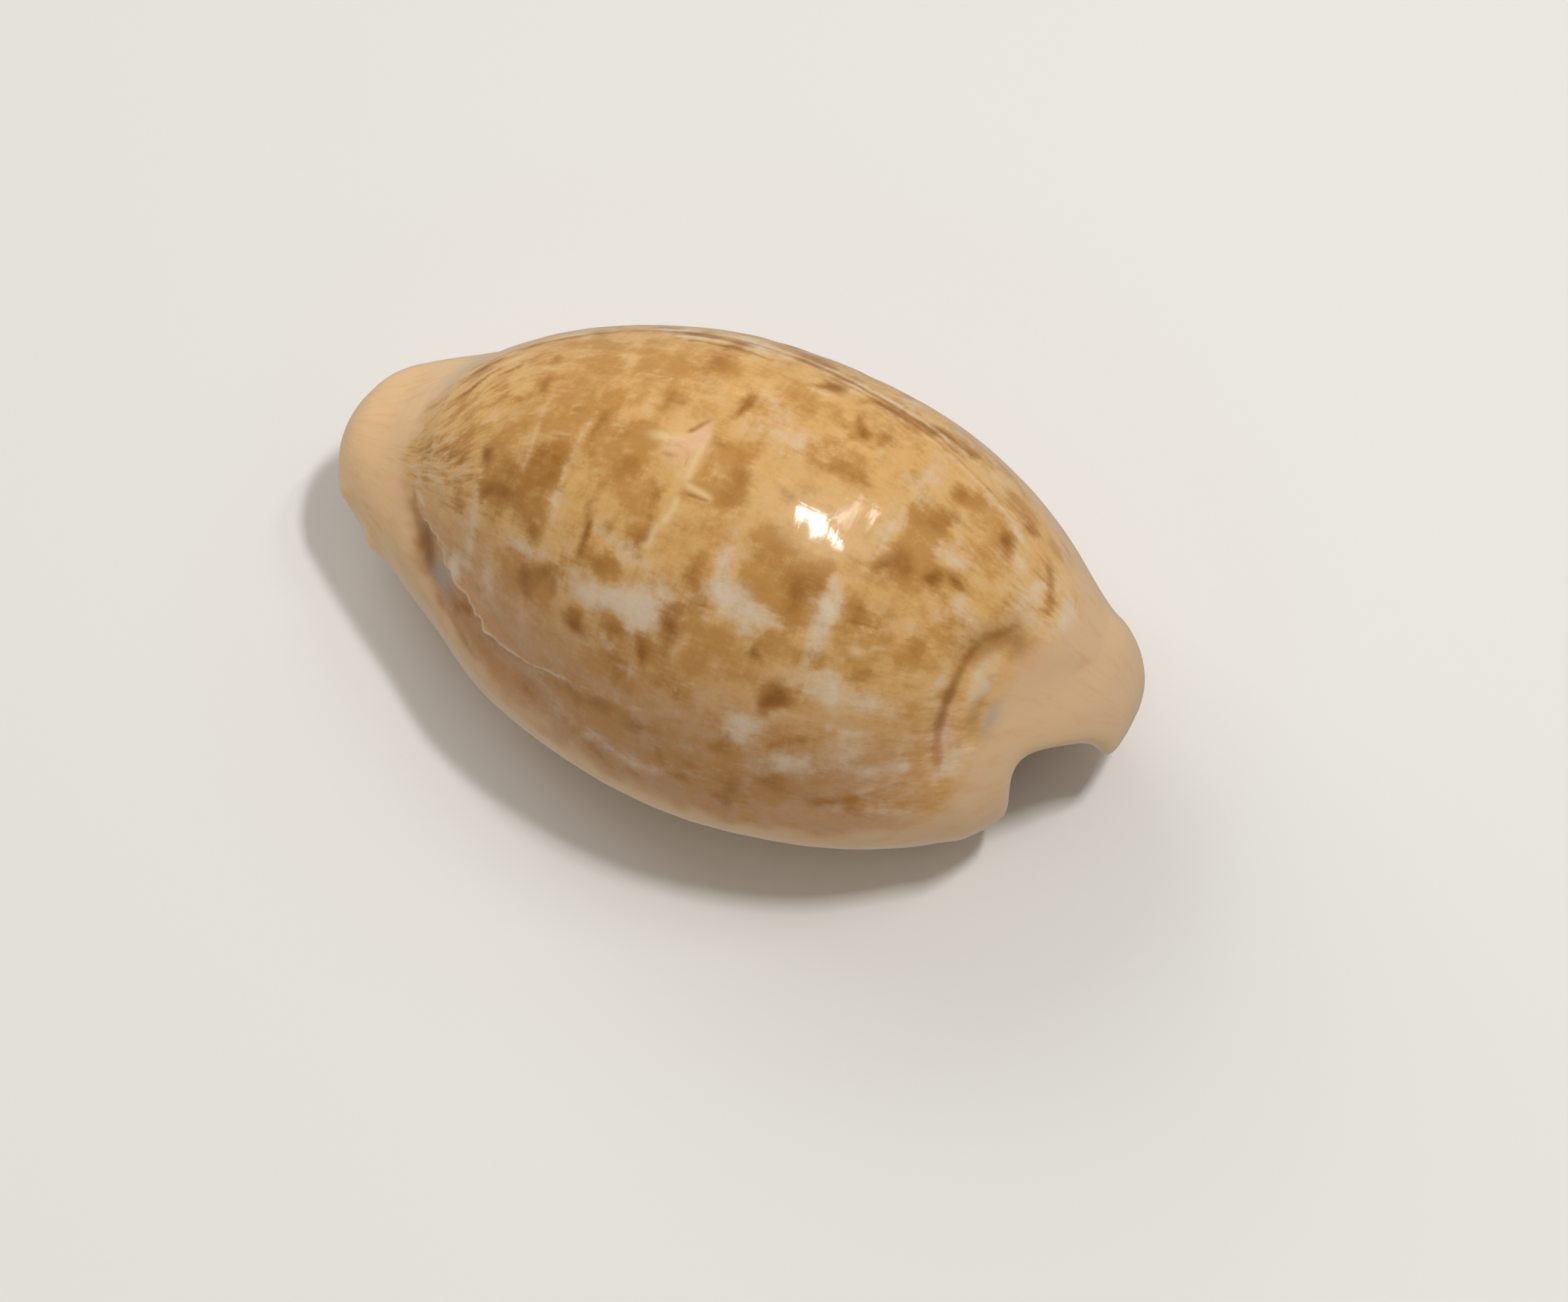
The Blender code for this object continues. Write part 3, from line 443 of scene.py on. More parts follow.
# Fineness of the meshes and of the curves
OUTSIDE_STEPS = (144, 180)
ROOM_STEPS = (64, 64)
APERTURE_STEPS = (48, 96)
CANAL_SIDES = 64
SPAN_STEPS = 40
STROKE_STRIDE = 8
EVENING_STEPS = 7
LIFT_ROUNDS = 6
LATTICE = 64
NEAR_POLE = 0.9999
TINY = 1e-6
FAR = 1e3
VOXEL = 0.173 * MM
EDGE_PASSES = 18
CANAL_PASSES = 56


def srgb(red, green, blue):
    """A colour for a shader, from its usual 0 to 255 values."""
    return tuple(c / 12.92 if c <= 0.04045 else ((c + 0.055) / 1.055) ** 2.4
                 for c in (red / 255, green / 255, blue / 255))


def colour_property(name, description, default):
    return bpy.props.FloatVectorProperty(name=name, description=description, subtype='COLOR', size=3,
                                         min=0.0, max=1.0, default=default)


def number_property(name, description, default, **limits):
    return bpy.props.FloatProperty(name=name, description=description, default=default, **limits)


def length_property(name, description, default):
    return number_property(name, description, default, min=0.0, precision=5,
                           unit='LENGTH', subtype='DISTANCE')


def share_property(name, description, default):
    return number_property(name, description, default, min=0.0, max=1.0, subtype='FACTOR')


def angle_property(name, description, degrees):
    return number_property(name, description, math.radians(degrees), subtype='ANGLE')


def power_property(name, description, default):
    return number_property(name, description, default, min=0.0, unit='POWER')


def teeth_property(name, description, default):
    return bpy.props.IntProperty(name=name, description=description, default=default, min=3)


class CowrieSize(bpy.types.PropertyGroup):
    """Sizes of the shell's form."""
    length: length_property("Length", "Length of the shell from canal to canal", 33.5 * MM)
    width: length_property("Width", "Width of the callus rim", 18.9 * MM)
    height: length_property("Height", "Height of the back above the base", 15.7 * MM)
    wall: length_property("Wall", "Thickness of the wall of the back", 1.8 * MM)
    lip_teeth: teeth_property("Lip teeth", "Teeth on the outer lip", 18)
    columella_teeth: teeth_property("Columella teeth", "Teeth on the columella", 16)
    tooth_height: length_property("Tooth height", "Depth of the grooves between the teeth", 0.38 * MM)
    growth_relief: length_property("Growth relief", "Height of the fine unevenness of the back", 0.012 * MM)


class CowrieColours(bpy.types.PropertyGroup):
    """Colours and gloss of the shell."""
    golden: colour_property("Golden ground", "Ground of the top of the back", srgb(219, 173, 108))
    rosy: colour_property("Rosy ground", "Ground of the lower back", srgb(192, 150, 112))
    tan: colour_property("Field", "Broad darker patches", srgb(188, 136, 68))
    # Blotch colour, also painted as shade along the spire groove and beside the scar's arms
    brown: colour_property("Blotch", "Middle of a faint blotch", srgb(164, 110, 42))
    deep_brown: colour_property("Deep blotch", "Middle of a strong blotch", srgb(128, 78, 20))
    pale: colour_property("Whitish", "Patches where the ground is thin", srgb(222, 202, 176))
    cream: colour_property("Cream", "Pale streaks at the front", srgb(228, 192, 130))
    callus: colour_property("Callus", "Thick plain rim and base", srgb(214, 180, 140))
    # Warmer front callus, also lighter as painted light where the front is lit more
    callus_front_tint_and_light: colour_property("Front callus", "Warmer tint of the front end", srgb(228, 190, 142))
    callus_blush: colour_property("Callus blush", "Faint darker clouds in the callus", srgb(206, 154, 108))
    # Colour of the old surface, also used as painted shade in the grooves and under the last layer's edge
    stain: colour_property("Stain", "Old surface in the grooves", srgb(146, 98, 38))
    scar: colour_property("Scar", "Healed cracks", srgb(232, 200, 148))
    pink: colour_property("Pink", "Tint in the middle of the scar", srgb(232, 180, 150))
    grey: colour_property("Grey", "Bluish spots in the grooves", srgb(160, 152, 146))
    tooth: colour_property("Tooth", "Dark crests of the teeth", srgb(104, 54, 28))
    inside: colour_property("Inside", "Wall of the room inside", srgb(204, 174, 152))
    roughness: share_property("Roughness", "Roughness under the glaze", 0.38)
    glaze_roughness: share_property("Glaze roughness", "Roughness of the glaze", 0.06)


class CowrieStage(bpy.types.PropertyGroup):
    """The floor, the lights and the camera."""
    floor: colour_property("Floor", "Colour of the floor", (0.80, 0.79, 0.77))
    floor_size: length_property("Floor size", "Side of the square floor", 2.4)
    azimuth: angle_property("Azimuth", "Camera's turn about the shell", 24)
    elevation: angle_property("Elevation", "Camera's height angle", 60)
    distance: length_property("Distance", "Camera's distance", 0.25)
    lens: number_property("Lens", "Focal length on a 36 mm sensor", 149.1, min=1.0, unit='CAMERA')
    key_power: power_property("Key power", "Power of the key light", 0.66)
    fill_power: power_property("Fill power", "Power of the fill light", 2.35)
    strip_power: power_property("Strip power", "Power of the narrow strip light", 0.12)


def smoothstep(low, high, value):
    t = np.clip((value - low) / (high - low), 0.0, 1.0)
    return t * t * (3.0 - 2.0 * t)


def curve_through(points, upright_ends):
    """Dense points of a smooth curve through a few, upright at both ends where an outline closes."""
    p = np.array(points, float)
    if upright_ends:
        before = (p[1, 0], 2 * p[0, 1] - p[1, 1])
        after = (p[-2, 0], 2 * p[-1, 1] - p[-2, 1])
    else:
        before = 2 * p[0] - p[1]
        after = 2 * p[-1] - p[-2]
    p = np.vstack([before, p, after])
    t = np.linspace(0.0, 1.0, SPAN_STEPS, endpoint=False)[:, None]
    spans = []
    for a, b, c, d in zip(p, p[1:], p[2:], p[3:]):
        spans.append(b + 0.5 * ((c - a) * t + (2 * a - 5 * b + 4 * c - d) * t ** 2
                                + (3 * b - a - 3 * c + d) * t ** 3))
    return np.vstack(spans + [p[-2:-1]])


def rounded_reach(roll, across, up, squareness):
    """Distance from the long axis to a rounded section, at an angle."""
    flat = (np.abs(np.cos(roll)) / np.maximum(across, TINY)) ** squareness
    tall = (np.abs(np.sin(roll)) / np.maximum(up, TINY)) ** squareness
    return (flat + tall) ** (-1.0 / squareness)


def smooth_larger(a, b, blend):
    overlap = np.maximum(blend - np.abs(a - b), 0.0)
    return np.maximum(a, b) + overlap ** 2 / (4 * blend)


class ShellForm:
    """The cowrie's plain surfaces, as distances from its long axis at any x and roll (radians)."""

    def __init__(self, size):
        self.half_length = size.length / 2
        self.height = size.height
        half_width = size.width / 2
        self.rim_lip = self.reader(RIM_LIP, half_width)
        self.rim_columella = self.reader(RIM_COLUMELLA, half_width)
        self.rim_top = self.reader(RIM_TOP, size.height)
        self.rim_base = self.reader(RIM_BASE, size.height)
        self.whorl_lip = self.reader(WHORL_LIP, half_width)
        self.whorl_columella = self.reader(WHORL_COLUMELLA, half_width)
        self.whorl_top = self.reader(WHORL_TOP, size.height)
        self.spine = self.reader(SPINE, half_width, upright_ends=False)
        self.level = self.reader(LEVEL, size.height, upright_ends=False)
        self.blend_lip = self.reader(BLEND_LIP, 1.0, upright_ends=False)
        self.blend_columella = self.reader(BLEND_COLUMELLA, 1.0, upright_ends=False)
        self.aperture_middle = self.reader(APERTURE, half_width, upright_ends=False)
        self.aperture_half_width = self.reader(APERTURE_HALF_WIDTH, 1.0, upright_ends=False)
        self.aperture_roof = self.reader(APERTURE_ROOF, 1.0, upright_ends=False)

    def reader(self, points, unit, upright_ends=True):
        """A function that gives the curve's second value, times unit, at any x."""
        dense = curve_through(points, upright_ends)
        x = np.maximum.accumulate(dense[:, 0]) * self.half_length
        return lambda at: np.interp(at, x, dense[:, 1] * unit)

    def section_reach(self, x, roll, lip, columella, top, bottom, squareness, inset=0.0):
        """Distance to a rounded section between two places across and two in height, less an inset."""
        across = np.where(np.cos(roll) >= 0, lip - self.spine(x), self.spine(x) - columella)
        up = np.where(np.sin(roll) >= 0, top - self.level(x), self.level(x) - bottom)
        return rounded_reach(roll, across - inset, up - inset, squareness)

    def rim_reach(self, x, roll):
        squareness = np.where(np.cos(roll) >= 0, RIM_SQUARENESS_LIP, RIM_SQUARENESS_COLUMELLA)
        return self.section_reach(x, roll, self.rim_lip(x), self.rim_columella(x), self.rim_top(x),
                                  self.rim_base(x), squareness)

    def whorl_reach(self, x, roll, inset=0.0):
        """The body whorl, or the room inside it where there is an inset; nought beyond its ends."""
        low, high = WHORL_TOP[0][0] * self.half_length, WHORL_TOP[-1][0] * self.half_length
        at = low + (x - low - inset) * (high - low) / (high - low - 2 * inset)
        reach = self.section_reach(x, roll, self.whorl_lip(at), self.whorl_columella(at), self.whorl_top(at),
                                   WHORL_FLOOR * self.height, WHORL_SQUARENESS, inset)
        return np.where((at > low) & (at < high), reach, 0.0)

    def joined_reach(self, x, roll):
        """The whorl run into its rim."""
        toward_lip = 0.5 + 0.5 * np.cos(roll)
        blend = self.blend_lip(x) * toward_lip + self.blend_columella(x) * (1.0 - toward_lip)
        along = (x / self.half_length - FILLED_AT[0]) / FILLED_OVER[0]
        around = (np.degrees(roll) - FILLED_AT[1]) / FILLED_OVER[1]
        blend = blend + CREASE_FILL * np.exp(-along ** 2 - around ** 2)
        return smooth_larger(self.rim_reach(x, roll), self.whorl_reach(x, roll), blend)

    def reach(self, x, roll):
        """The outside, evened where the whorl comes out of the callus at the front."""
        reach = self.joined_reach(x, roll)
        weight = np.exp(-((x / self.half_length - WHORL_TOP[0][0]) / FRONT_EVENING) ** 2)
        near = weight > 0.01
        steps = np.linspace(-1.0, 1.0, EVENING_STEPS) * FRONT_EVENING * self.half_length
        evened = sum(self.joined_reach(x[near] + step, roll[near]) for step in steps) / len(steps)
        reach[near] += weight[near] * (evened - reach[near])
        return reach

    def lift(self, x, y, roll):
        """How far the base is raised where it rolls in at the aperture, and on the columella side."""
        downward = np.clip(-np.sin(roll), 0.0, 1.0) ** 2
        rolled_in = LIP_ROLL_HEIGHT * np.exp(-((y - self.aperture_middle(x)) / LIP_ROLL_WIDTH) ** 2)
        return downward * (rolled_in + COLUMELLA_LIFT * np.clip(-np.cos(roll), 0.0, 1.0))

    def points(self, x, roll, reach):
        """Places in space on a section about the long axis, before the base is lifted."""
        y = self.spine(x) + reach * np.cos(roll)
        z = self.level(x) + reach * np.sin(roll)
        return np.stack([x, y, z], axis=-1)

    def outside(self, x, roll, rise=0.0):
        points = self.points(x, roll, self.reach(x, roll) + rise)
        points[..., 2] += self.lift(x, points[..., 1], roll)
        return points

    def locate(self, points):
        """The roll and the distance from the long axis of places on or in the shell."""
        x, y, z = points.T
        unlifted = z.copy()
        for _ in range(LIFT_ROUNDS):
            roll = np.arctan2(unlifted - self.level(x), y - self.spine(x))
            unlifted = z - self.lift(x, y, roll)
        return roll, np.hypot(unlifted - self.level(x), y - self.spine(x))


def deselect_all():
    bpy.ops.object.select_all(action='DESELECT')


def select_only(obj):
    deselect_all()
    obj.select_set(True)
    bpy.context.view_layer.objects.active = obj


def coordinates(obj):
    flat = np.empty(len(obj.data.vertices) * 3)
    obj.data.vertices.foreach_get("co", flat)
    return flat.reshape(-1, 3)


def set_coordinates(obj, points):
    obj.data.vertices.foreach_set("co", np.ascontiguousarray(points, dtype=np.float32).ravel())
    obj.data.update()


def shaped_sphere(name, segments, rings, place):
    """A sphere with its poles on X, each point moved by place(share of its half length, roll)."""
    deselect_all()
    bpy.ops.mesh.primitive_uv_sphere_add(segments=segments, ring_count=rings, radius=1.0,
                                         rotation=(0.0, math.radians(90), 0.0))
    obj = bpy.context.object
    obj.name = obj.data.name = name
    bpy.ops.object.transform_apply(location=True, rotation=True, scale=True)
    start = coordinates(obj)
    share = np.clip(start[:, 0], -NEAR_POLE, NEAR_POLE)
    set_coordinates(obj, place(share, np.arctan2(start[:, 2], start[:, 1])))
    return obj


def grow_outside(form):
    return shaped_sphere("cowrie_shell", *OUTSIDE_STEPS,
                         lambda share, roll: form.outside(share * form.half_length, roll))


def room_cutter(form, wall):
    """The room inside the body whorl, one wall's thickness in from the outside."""
    low = WHORL_TOP[0][0] * form.half_length + wall
    high = WHORL_TOP[-1][0] * form.half_length - wall

    def place(share, roll):
        x = (low + high) / 2 + share * (high - low) / 2
        return form.points(x, roll, form.whorl_reach(x, roll, wall))
    return shaped_sphere("room", *ROOM_STEPS, place)


def aperture_cutter(form):
    """The long curved slot through the base, with an arched roof."""
    low, high = APERTURE[0][0] * form.half_length, APERTURE[-1][0] * form.half_length

    def place(share, roll):
        turn = np.arcsin(share) / (math.pi / 2)
        x = (low + high) / 2 + turn * (high - low) / 2
        closing = smoothstep(*APERTURE_CLOSING, np.abs(turn))
        sideways = np.clip(APERTURE_SQUARENESS[0] * np.cos(roll), -1.0, 1.0)
        upward = np.clip(APERTURE_SQUARENESS[1] * np.sin(roll), -1.0, 1.0)
        y = form.aperture_middle(x) + closing * form.aperture_half_width(x) * sideways
        up = (form.aperture_roof(x) - APERTURE_BELOW) / 2
        z = APERTURE_BELOW + up + closing * up * upward
        return np.stack([x, y, z], axis=-1)
    return shaped_sphere("aperture", *APERTURE_STEPS, place)


def canal_turn():
    """The rear canal's own axes: across it, the way out, and inward along it."""
    inward = CANAL_AXIS.normalized()
    way_out = (CANAL_WAY_OUT - CANAL_WAY_OUT.dot(inward) * inward).normalized()
    return Matrix((way_out.cross(inward), way_out, inward)).transposed()


def canal_measure(side, out):
    """Distance from the rear canal's middle, by a rule that makes its inner end squarish and shallow."""
    out = out * CANAL_SHALLOWNESS
    return (np.abs(side) ** CANAL_SQUARENESS + np.abs(out) ** CANAL_SQUARENESS) ** (1 / CANAL_SQUARENESS)


def canal_cutter():
    """A squarish bore that leans in under the shell, drawn out to the rear."""
    deselect_all()
    bpy.ops.mesh.primitive_cylinder_add(vertices=CANAL_SIDES, radius=CANAL_RADIUS, depth=CANAL_LENGTH)
    obj = bpy.context.object
    obj.name = obj.data.name = "canal"
    points = coordinates(obj)
    points[:, :2] *= CANAL_RADIUS / canal_measure(points[:, 0], points[:, 1])[:, None]
    points[points[:, 1] > 0, 1] += CANAL_REACH
    set_coordinates(obj, points @ np.array(canal_turn()).T + np.array(CANAL_MIDDLE))
    return obj


def apply_modifier(obj, kind, **settings):
    select_only(obj)
    modifier = obj.modifiers.new(kind.title(), kind)
    for name, value in settings.items():
        setattr(modifier, name, value)
    bpy.ops.object.modifier_apply(modifier=modifier.name)


def cut(obj, cutter):
    apply_modifier(obj, 'BOOLEAN', operation='DIFFERENCE', object=cutter, solver='EXACT')
    bpy.data.objects.remove(cutter, do_unlink=True)


def canal_gap(points):
    """Distance from the rear canal's wall, less than nought inside the canal."""
    side, out = ((points - np.array(CANAL_MIDDLE)) @ np.array(canal_turn())).T[:2]
    return np.where(out > 0, np.abs(side), canal_measure(side, out)) - CANAL_RADIUS


def lattice_noise(u, v, seed):
    """Smooth random values from -1 to 1 over a plane, one step of the lattice a unit."""
    lattice = np.random.default_rng(seed).uniform(-1.0, 1.0, (LATTICE, LATTICE))
    i, j = np.floor(u).astype(int), np.floor(v).astype(int)
    fu, fv = (f ** 3 * (f * (f * 6 - 15) + 10) for f in (u - i, v - j))
    rows = []
    for row in (j % LATTICE, (j + 1) % LATTICE):
        rows.append(lattice[i % LATTICE, row] * (1 - fu) + lattice[(i + 1) % LATTICE, row] * fu)
    return rows[0] * (1 - fv) + rows[1] * fv


def from_stroke(a, b, x, roll, stretch):
    """Gap in mm to the stroke from a to b, how far along it that is, and which side of it a place is on."""
    dx, dr = b[0] - a[0], (b[1] - a[1]) * stretch
    px, pr = x - a[0], (roll - a[1]) * stretch
    along = np.clip((px * dx + pr * dr) / (dx * dx + dr * dr), 0.0, 1.0)
    return np.hypot(px - along * dx, pr - along * dr), along, np.sign(dx * pr - dr * px)


def within_ends(progress, start, end):
    """1 in the middle of a path, run out to 0 over a stretch at its start and at its end."""
    return smoothstep(*start, progress) * smoothstep(*end, progress)


class Skin:
    """The marks' own coordinates at each point: x in mm, roll in degrees, and mm of surface a degree."""

    def __init__(self, form, x, roll):
        self.x = x * MARKED_LENGTH / (2 * form.half_length) / MM
        degrees = np.degrees(roll)
        self.roll = np.where(degrees < -90.0, degrees + 360.0, degrees)
        self.stretch = np.maximum(form.reach(x, roll), 1.0 * MM) / MM * math.pi / 180.0
        self.across = np.radians(self.roll) * MEAN_REACH

    def noise(self, height, along, around, seed):
        """Random waves of a height, with so many lattice steps a mm along the shell and around it."""
        return height * lattice_noise(self.x * along, self.across * around, seed)

    def from_path(self, path, reach):
        """Gap in mm to a path, the side of it, +1 where roll is larger on a path towards +x, and progress."""
        dense = curve_through(path, upright_ends=False)[::STROKE_STRIDE]
        low, high = dense.min(axis=0), dense.max(axis=0)
        near = np.flatnonzero((self.x > low[0] - reach) & (self.x < high[0] + reach)
                              & ((self.roll - low[1]) * self.stretch > -reach)
                              & ((self.roll - high[1]) * self.stretch < reach))
        best = [np.full(near.shape, FAR), np.ones(near.shape), np.zeros(near.shape)]
        for i, (a, b) in enumerate(zip(dense, dense[1:])):
            gap, along, side = from_stroke(a, b, self.x[near], self.roll[near], self.stretch[near])
            closer = gap < best[0]
            for kept, new in zip(best, (gap, side, (i + along) / (len(dense) - 1))):
                kept[closer] = new[closer]
        everywhere = [np.full(self.x.shape, FAR), np.ones(self.x.shape), np.zeros(self.x.shape)]
        for values, kept in zip(everywhere, best):
            values[near] = kept
        return everywhere

    def ridge(self, path, width, fade=0.15):
        """1 along a path, falling off across its width and run out at both ends."""
        gap, _, progress = self.from_path(path, 4 * width)
        ends = np.clip(np.minimum(progress, 1.0 - progress) / fade, 0.0, 1.0)
        return np.exp(-(gap / width) ** 2) * smoothstep(0.0, 1.0, ends)

    def spots(self, rows, wobble=0.0, seed=0):
        """Joined strength of squarish soft spots, with their edges wobbled by so many mm."""
        x = self.x + self.noise(wobble, 1.1, 1.3, seed)
        shift = wobble * lattice_noise(self.x * 1.2 + 9.5, self.across * 1.0, seed + 1)
        total = np.zeros(self.x.shape)
        for at_x, at_roll, half_length, half_height, strength in rows:
            u = np.abs(x - at_x) / half_length
            v = np.abs((self.roll - at_roll) * self.stretch + shift) / (half_height * self.stretch)
            total += (1.0 - total) * strength * np.exp(-SPOT_FALL * (u ** 2 + v ** 2))
        return total

    def fields(self, rows, seed):
        """Joined strength of patches with crisp ends along x and softer sides, their edges a little wavy."""
        x = self.x + self.noise(FIELD_WAVES[0], 0.8, 1.2, seed)
        roll = self.roll + self.noise(FIELD_WAVES[1], 1.3, 0.8, seed + 1)
        soft_end, soft_side = FIELD_SOFTNESS
        total = np.zeros(self.x.shape)
        for x_from, x_to, roll_from, roll_to, strength in rows:
            along = smoothstep(-soft_end, soft_end, np.minimum(x - x_from, x_to - x))
            around = smoothstep(-soft_side, soft_side, np.minimum(roll - roll_from, roll_to - roll))
            total += (1.0 - total) * strength * along * around
        return total

    def inside_outline(self, outline):
        """Distance in mm inside a closed outline; less than nought outside it."""
        closed = np.array(outline + outline[:1], float)
        gap = np.full(self.x.shape, FAR)
        within = np.zeros(self.x.shape, bool)
        for a, b in zip(closed, closed[1:]):
            gap = np.minimum(gap, from_stroke(a, b, self.x, self.roll, self.stretch)[0])
            if a[1] != b[1]:
                crossing = a[0] + (self.roll - a[1]) * (b[0] - a[0]) / (b[1] - a[1])
                within ^= ((a[1] > self.roll) != (b[1] > self.roll)) & (self.x < crossing)
        return np.where(within, gap, -gap)


def relief(skin, growth):
    """Height of the fine forms above the plain outside, in metres."""
    gap, side, progress = skin.from_path(SPIRE_GROOVE, RELIEF_REACH)
    profile = np.exp(-(gap / np.where(side > 0, *SPIRE_GROOVE_WIDTHS)) ** 2)
    rise = -SPIRE_GROOVE_DEPTH * profile * within_ends(progress, *SPIRE_GROOVE_ENDS)
    for height, path, width, fade in RELIEF:
        rise += height * skin.ridge(path, width, fade)
    gap, side, progress = skin.from_path(OVERLAP_EDGE, RELIEF_REACH)
    on_layer, on_old = (smoothstep(*slope, gap) for slope in OVERLAP_SLOPES)
    rise += OVERLAP_HEIGHT * np.where(side < 0, on_layer, on_old) * within_ends(progress, *OVERLAP_ENDS)
    for height, path, width, fade in SCAR_RELIEF:
        rise += height * skin.ridge(path, width, fade)
    rise += SHEET_HEIGHT * skin.spots(SCAR_SHEET, wobble=0.15, seed=5)
    rise += CHIP_HEIGHT * skin.spots(CHIP) + CHIP_TAIL_HEIGHT * skin.ridge(CHIP_TAIL, 0.08, 0.4)
    rise += BUMP_HEIGHT * skin.spots(MARGIN_BUMPS)
    return rise * MM + growth * sum(skin.noise(*wave) for wave in GROWTH_LINES)


def tooth_field(form, size, points, roll):
    """Where the teeth's crests and the grooves between them lie: (crest, strength) at each point."""
    x, y, z = points.T
    from_middle = y - form.aperture_middle(x)
    half = form.aperture_half_width(x)
    out = np.abs(from_middle) - half
    lip = from_middle > 0
    rim = np.where(lip, form.rim_lip(x), form.rim_columella(x))
    room = np.maximum(np.abs(rim - form.aperture_middle(x)) - half, TOOTH_LEAST_ROOM)
    base = form.outside(x, np.full(x.shape, np.radians(270.0)))[:, 2]
    depth = np.clip(z - base - TOOTH_EDGE, 0.0, None) * (out < TOOTH_EDGE)
    share = x / form.half_length
    reach = room * np.where(lip, LIP_TOOTH_SHARE, COLUMELLA_TOOTH_SHARE)
    fanned = share - TOOTH_FAN * share * np.clip(out, 0.0, None) / form.half_length
    crest, span = np.zeros(x.shape), np.zeros(x.shape)
    for on_side, count, (low, high) in ((lip, size.lip_teeth, LIP_TEETH_SPAN),
                                        (~lip, size.columella_teeth, COLUMELLA_TEETH_SPAN)):
        phase = (fanned - low) / (high - low) * (count - 1)
        wave = 0.5 + 0.5 * np.cos(2 * math.pi * phase)
        inside_row = smoothstep(-0.5, 0.0, phase) * smoothstep(count - 0.5, count - 1.0, phase)
        crest = np.where(on_side, wave, crest)
        span = np.where(on_side, inside_row, span)
    run_out = smoothstep(1.0, 0.25, np.clip(out, 0.0, None) / reach)
    inward = smoothstep(TOOTH_DEPTH, 0.3 * TOOTH_DEPTH, depth)
    on_base = smoothstep(0.15, -0.25, np.sin(roll))
    return crest, span * run_out * inward * on_base * (out > TOOTH_INNER)


def refine(obj, form):
    """Splits the faces where the finest relief lies."""
    points = coordinates(obj)
    x = points[:, 0]
    roll, reach = form.locate(points)
    skin = Skin(form, x, roll)
    fine = np.zeros(len(points), bool)
    near_scar = [(path, 0.4) for path, width in SCAR_LINES + SCAR_GROOVES_AND_SHADE]
    for path, distance in [(OVERLAP_EDGE, 0.5), (SPIRE_GROOVE, 0.7), (SPIRE_DOME, 0.6)] + near_scar:
        fine |= skin.from_path(path, distance)[0] < distance
    fine |= skin.spots(CHIP) > 0.3
    fine &= form.reach(x, roll) - reach < OUTER_DEPTHS[0]
    edit_faces(obj, fine, bpy.ops.mesh.subdivide, number_cuts=1)


def edit_faces(obj, chosen, operation, **settings):
    """Runs an edit on the faces whose corners are all among the chosen points."""
    select_only(obj)
    bpy.ops.object.mode_set(mode='EDIT')
    bpy.ops.mesh.select_mode(type='FACE')
    bpy.ops.mesh.select_all(action='DESELECT')
    bpy.ops.object.mode_set(mode='OBJECT')
    mesh = obj.data
    starts = np.empty(len(mesh.polygons), int)
    mesh.polygons.foreach_get("loop_start", starts)
    corners = np.empty(len(mesh.loops), int)
    mesh.loops.foreach_get("vertex_index", corners)
    mesh.polygons.foreach_set("select", np.logical_and.reduceat(chosen[corners], starts))
    bpy.ops.object.mode_set(mode='EDIT')
    operation(**settings)
    bpy.ops.object.mode_set(mode='OBJECT')


def round_canal_rim(obj):
    """Wears the edges of the rear notch down to a thick round rim."""
    rim = obj.vertex_groups.new(name="canal rim")
    rim.add(np.flatnonzero(np.abs(canal_gap(coordinates(obj))) < CANAL_RIM).tolist(), 1.0, 'REPLACE')
    apply_modifier(obj, 'SMOOTH', factor=0.5, iterations=CANAL_PASSES, vertex_group=rim.name)
    obj.vertex_groups.clear()


def thin_inside(obj, form):
    """Takes the smooth room inside down to the few faces that it needs."""
    points = coordinates(obj)
    roll, reach = form.locate(points)
    inside = form.reach(points[:, 0], roll) - reach > ROOM_DEPTH
    inside &= (canal_gap(points) > ROOM_FROM_CANAL) & (points[:, 2] > ROOM_FLOOR)
    edit_faces(obj, inside, bpy.ops.mesh.decimate, ratio=ROOM_KEPT)


def finish_surface(obj, form, size):
    """Lays the skin on its true form, with the fine relief, the worn flats of the base and the teeth."""
    points = coordinates(obj)
    x = points[:, 0]
    roll, reach = form.locate(points)
    edge_gap = np.abs(points[:, 1] - form.aperture_middle(x)) - form.aperture_half_width(x)
    below = smoothstep(0.0, -0.4, np.sin(roll))
    outer = smoothstep(*OUTER_DEPTHS, form.reach(x, roll) - reach)
    outer *= smoothstep(*CANAL_DISTANCES, canal_gap(points))
    outer *= 1.0 - below * smoothstep(*APERTURE_DISTANCES, edge_gap)
    outer *= smoothstep(*POLE_SHARES, np.abs(x) / form.half_length)
    target = form.outside(x, roll, relief(Skin(form, x, roll), size.growth_relief))
    points += outer[:, None] * (target - points)
    points[:, 2] = 0.5 * (points[:, 2] + np.sqrt(points[:, 2] ** 2 + FLAT_EDGE ** 2))
    set_coordinates(obj, points)
    crest, strength = tooth_field(form, size, points, roll)
    normals = np.empty(points.size, np.float32)
    obj.data.vertices.foreach_get("normal", normals)
    groove = size.tooth_height * strength * (1.0 - crest ** 0.8)
    set_coordinates(obj, points - groove[:, None] * normals.reshape(-1, 3))


def add_values(obj, name, values):
    attribute = obj.data.attributes.new(name, 'FLOAT', 'POINT')
    attribute.data.foreach_set("value", np.ascontiguousarray(values, dtype=np.float32))


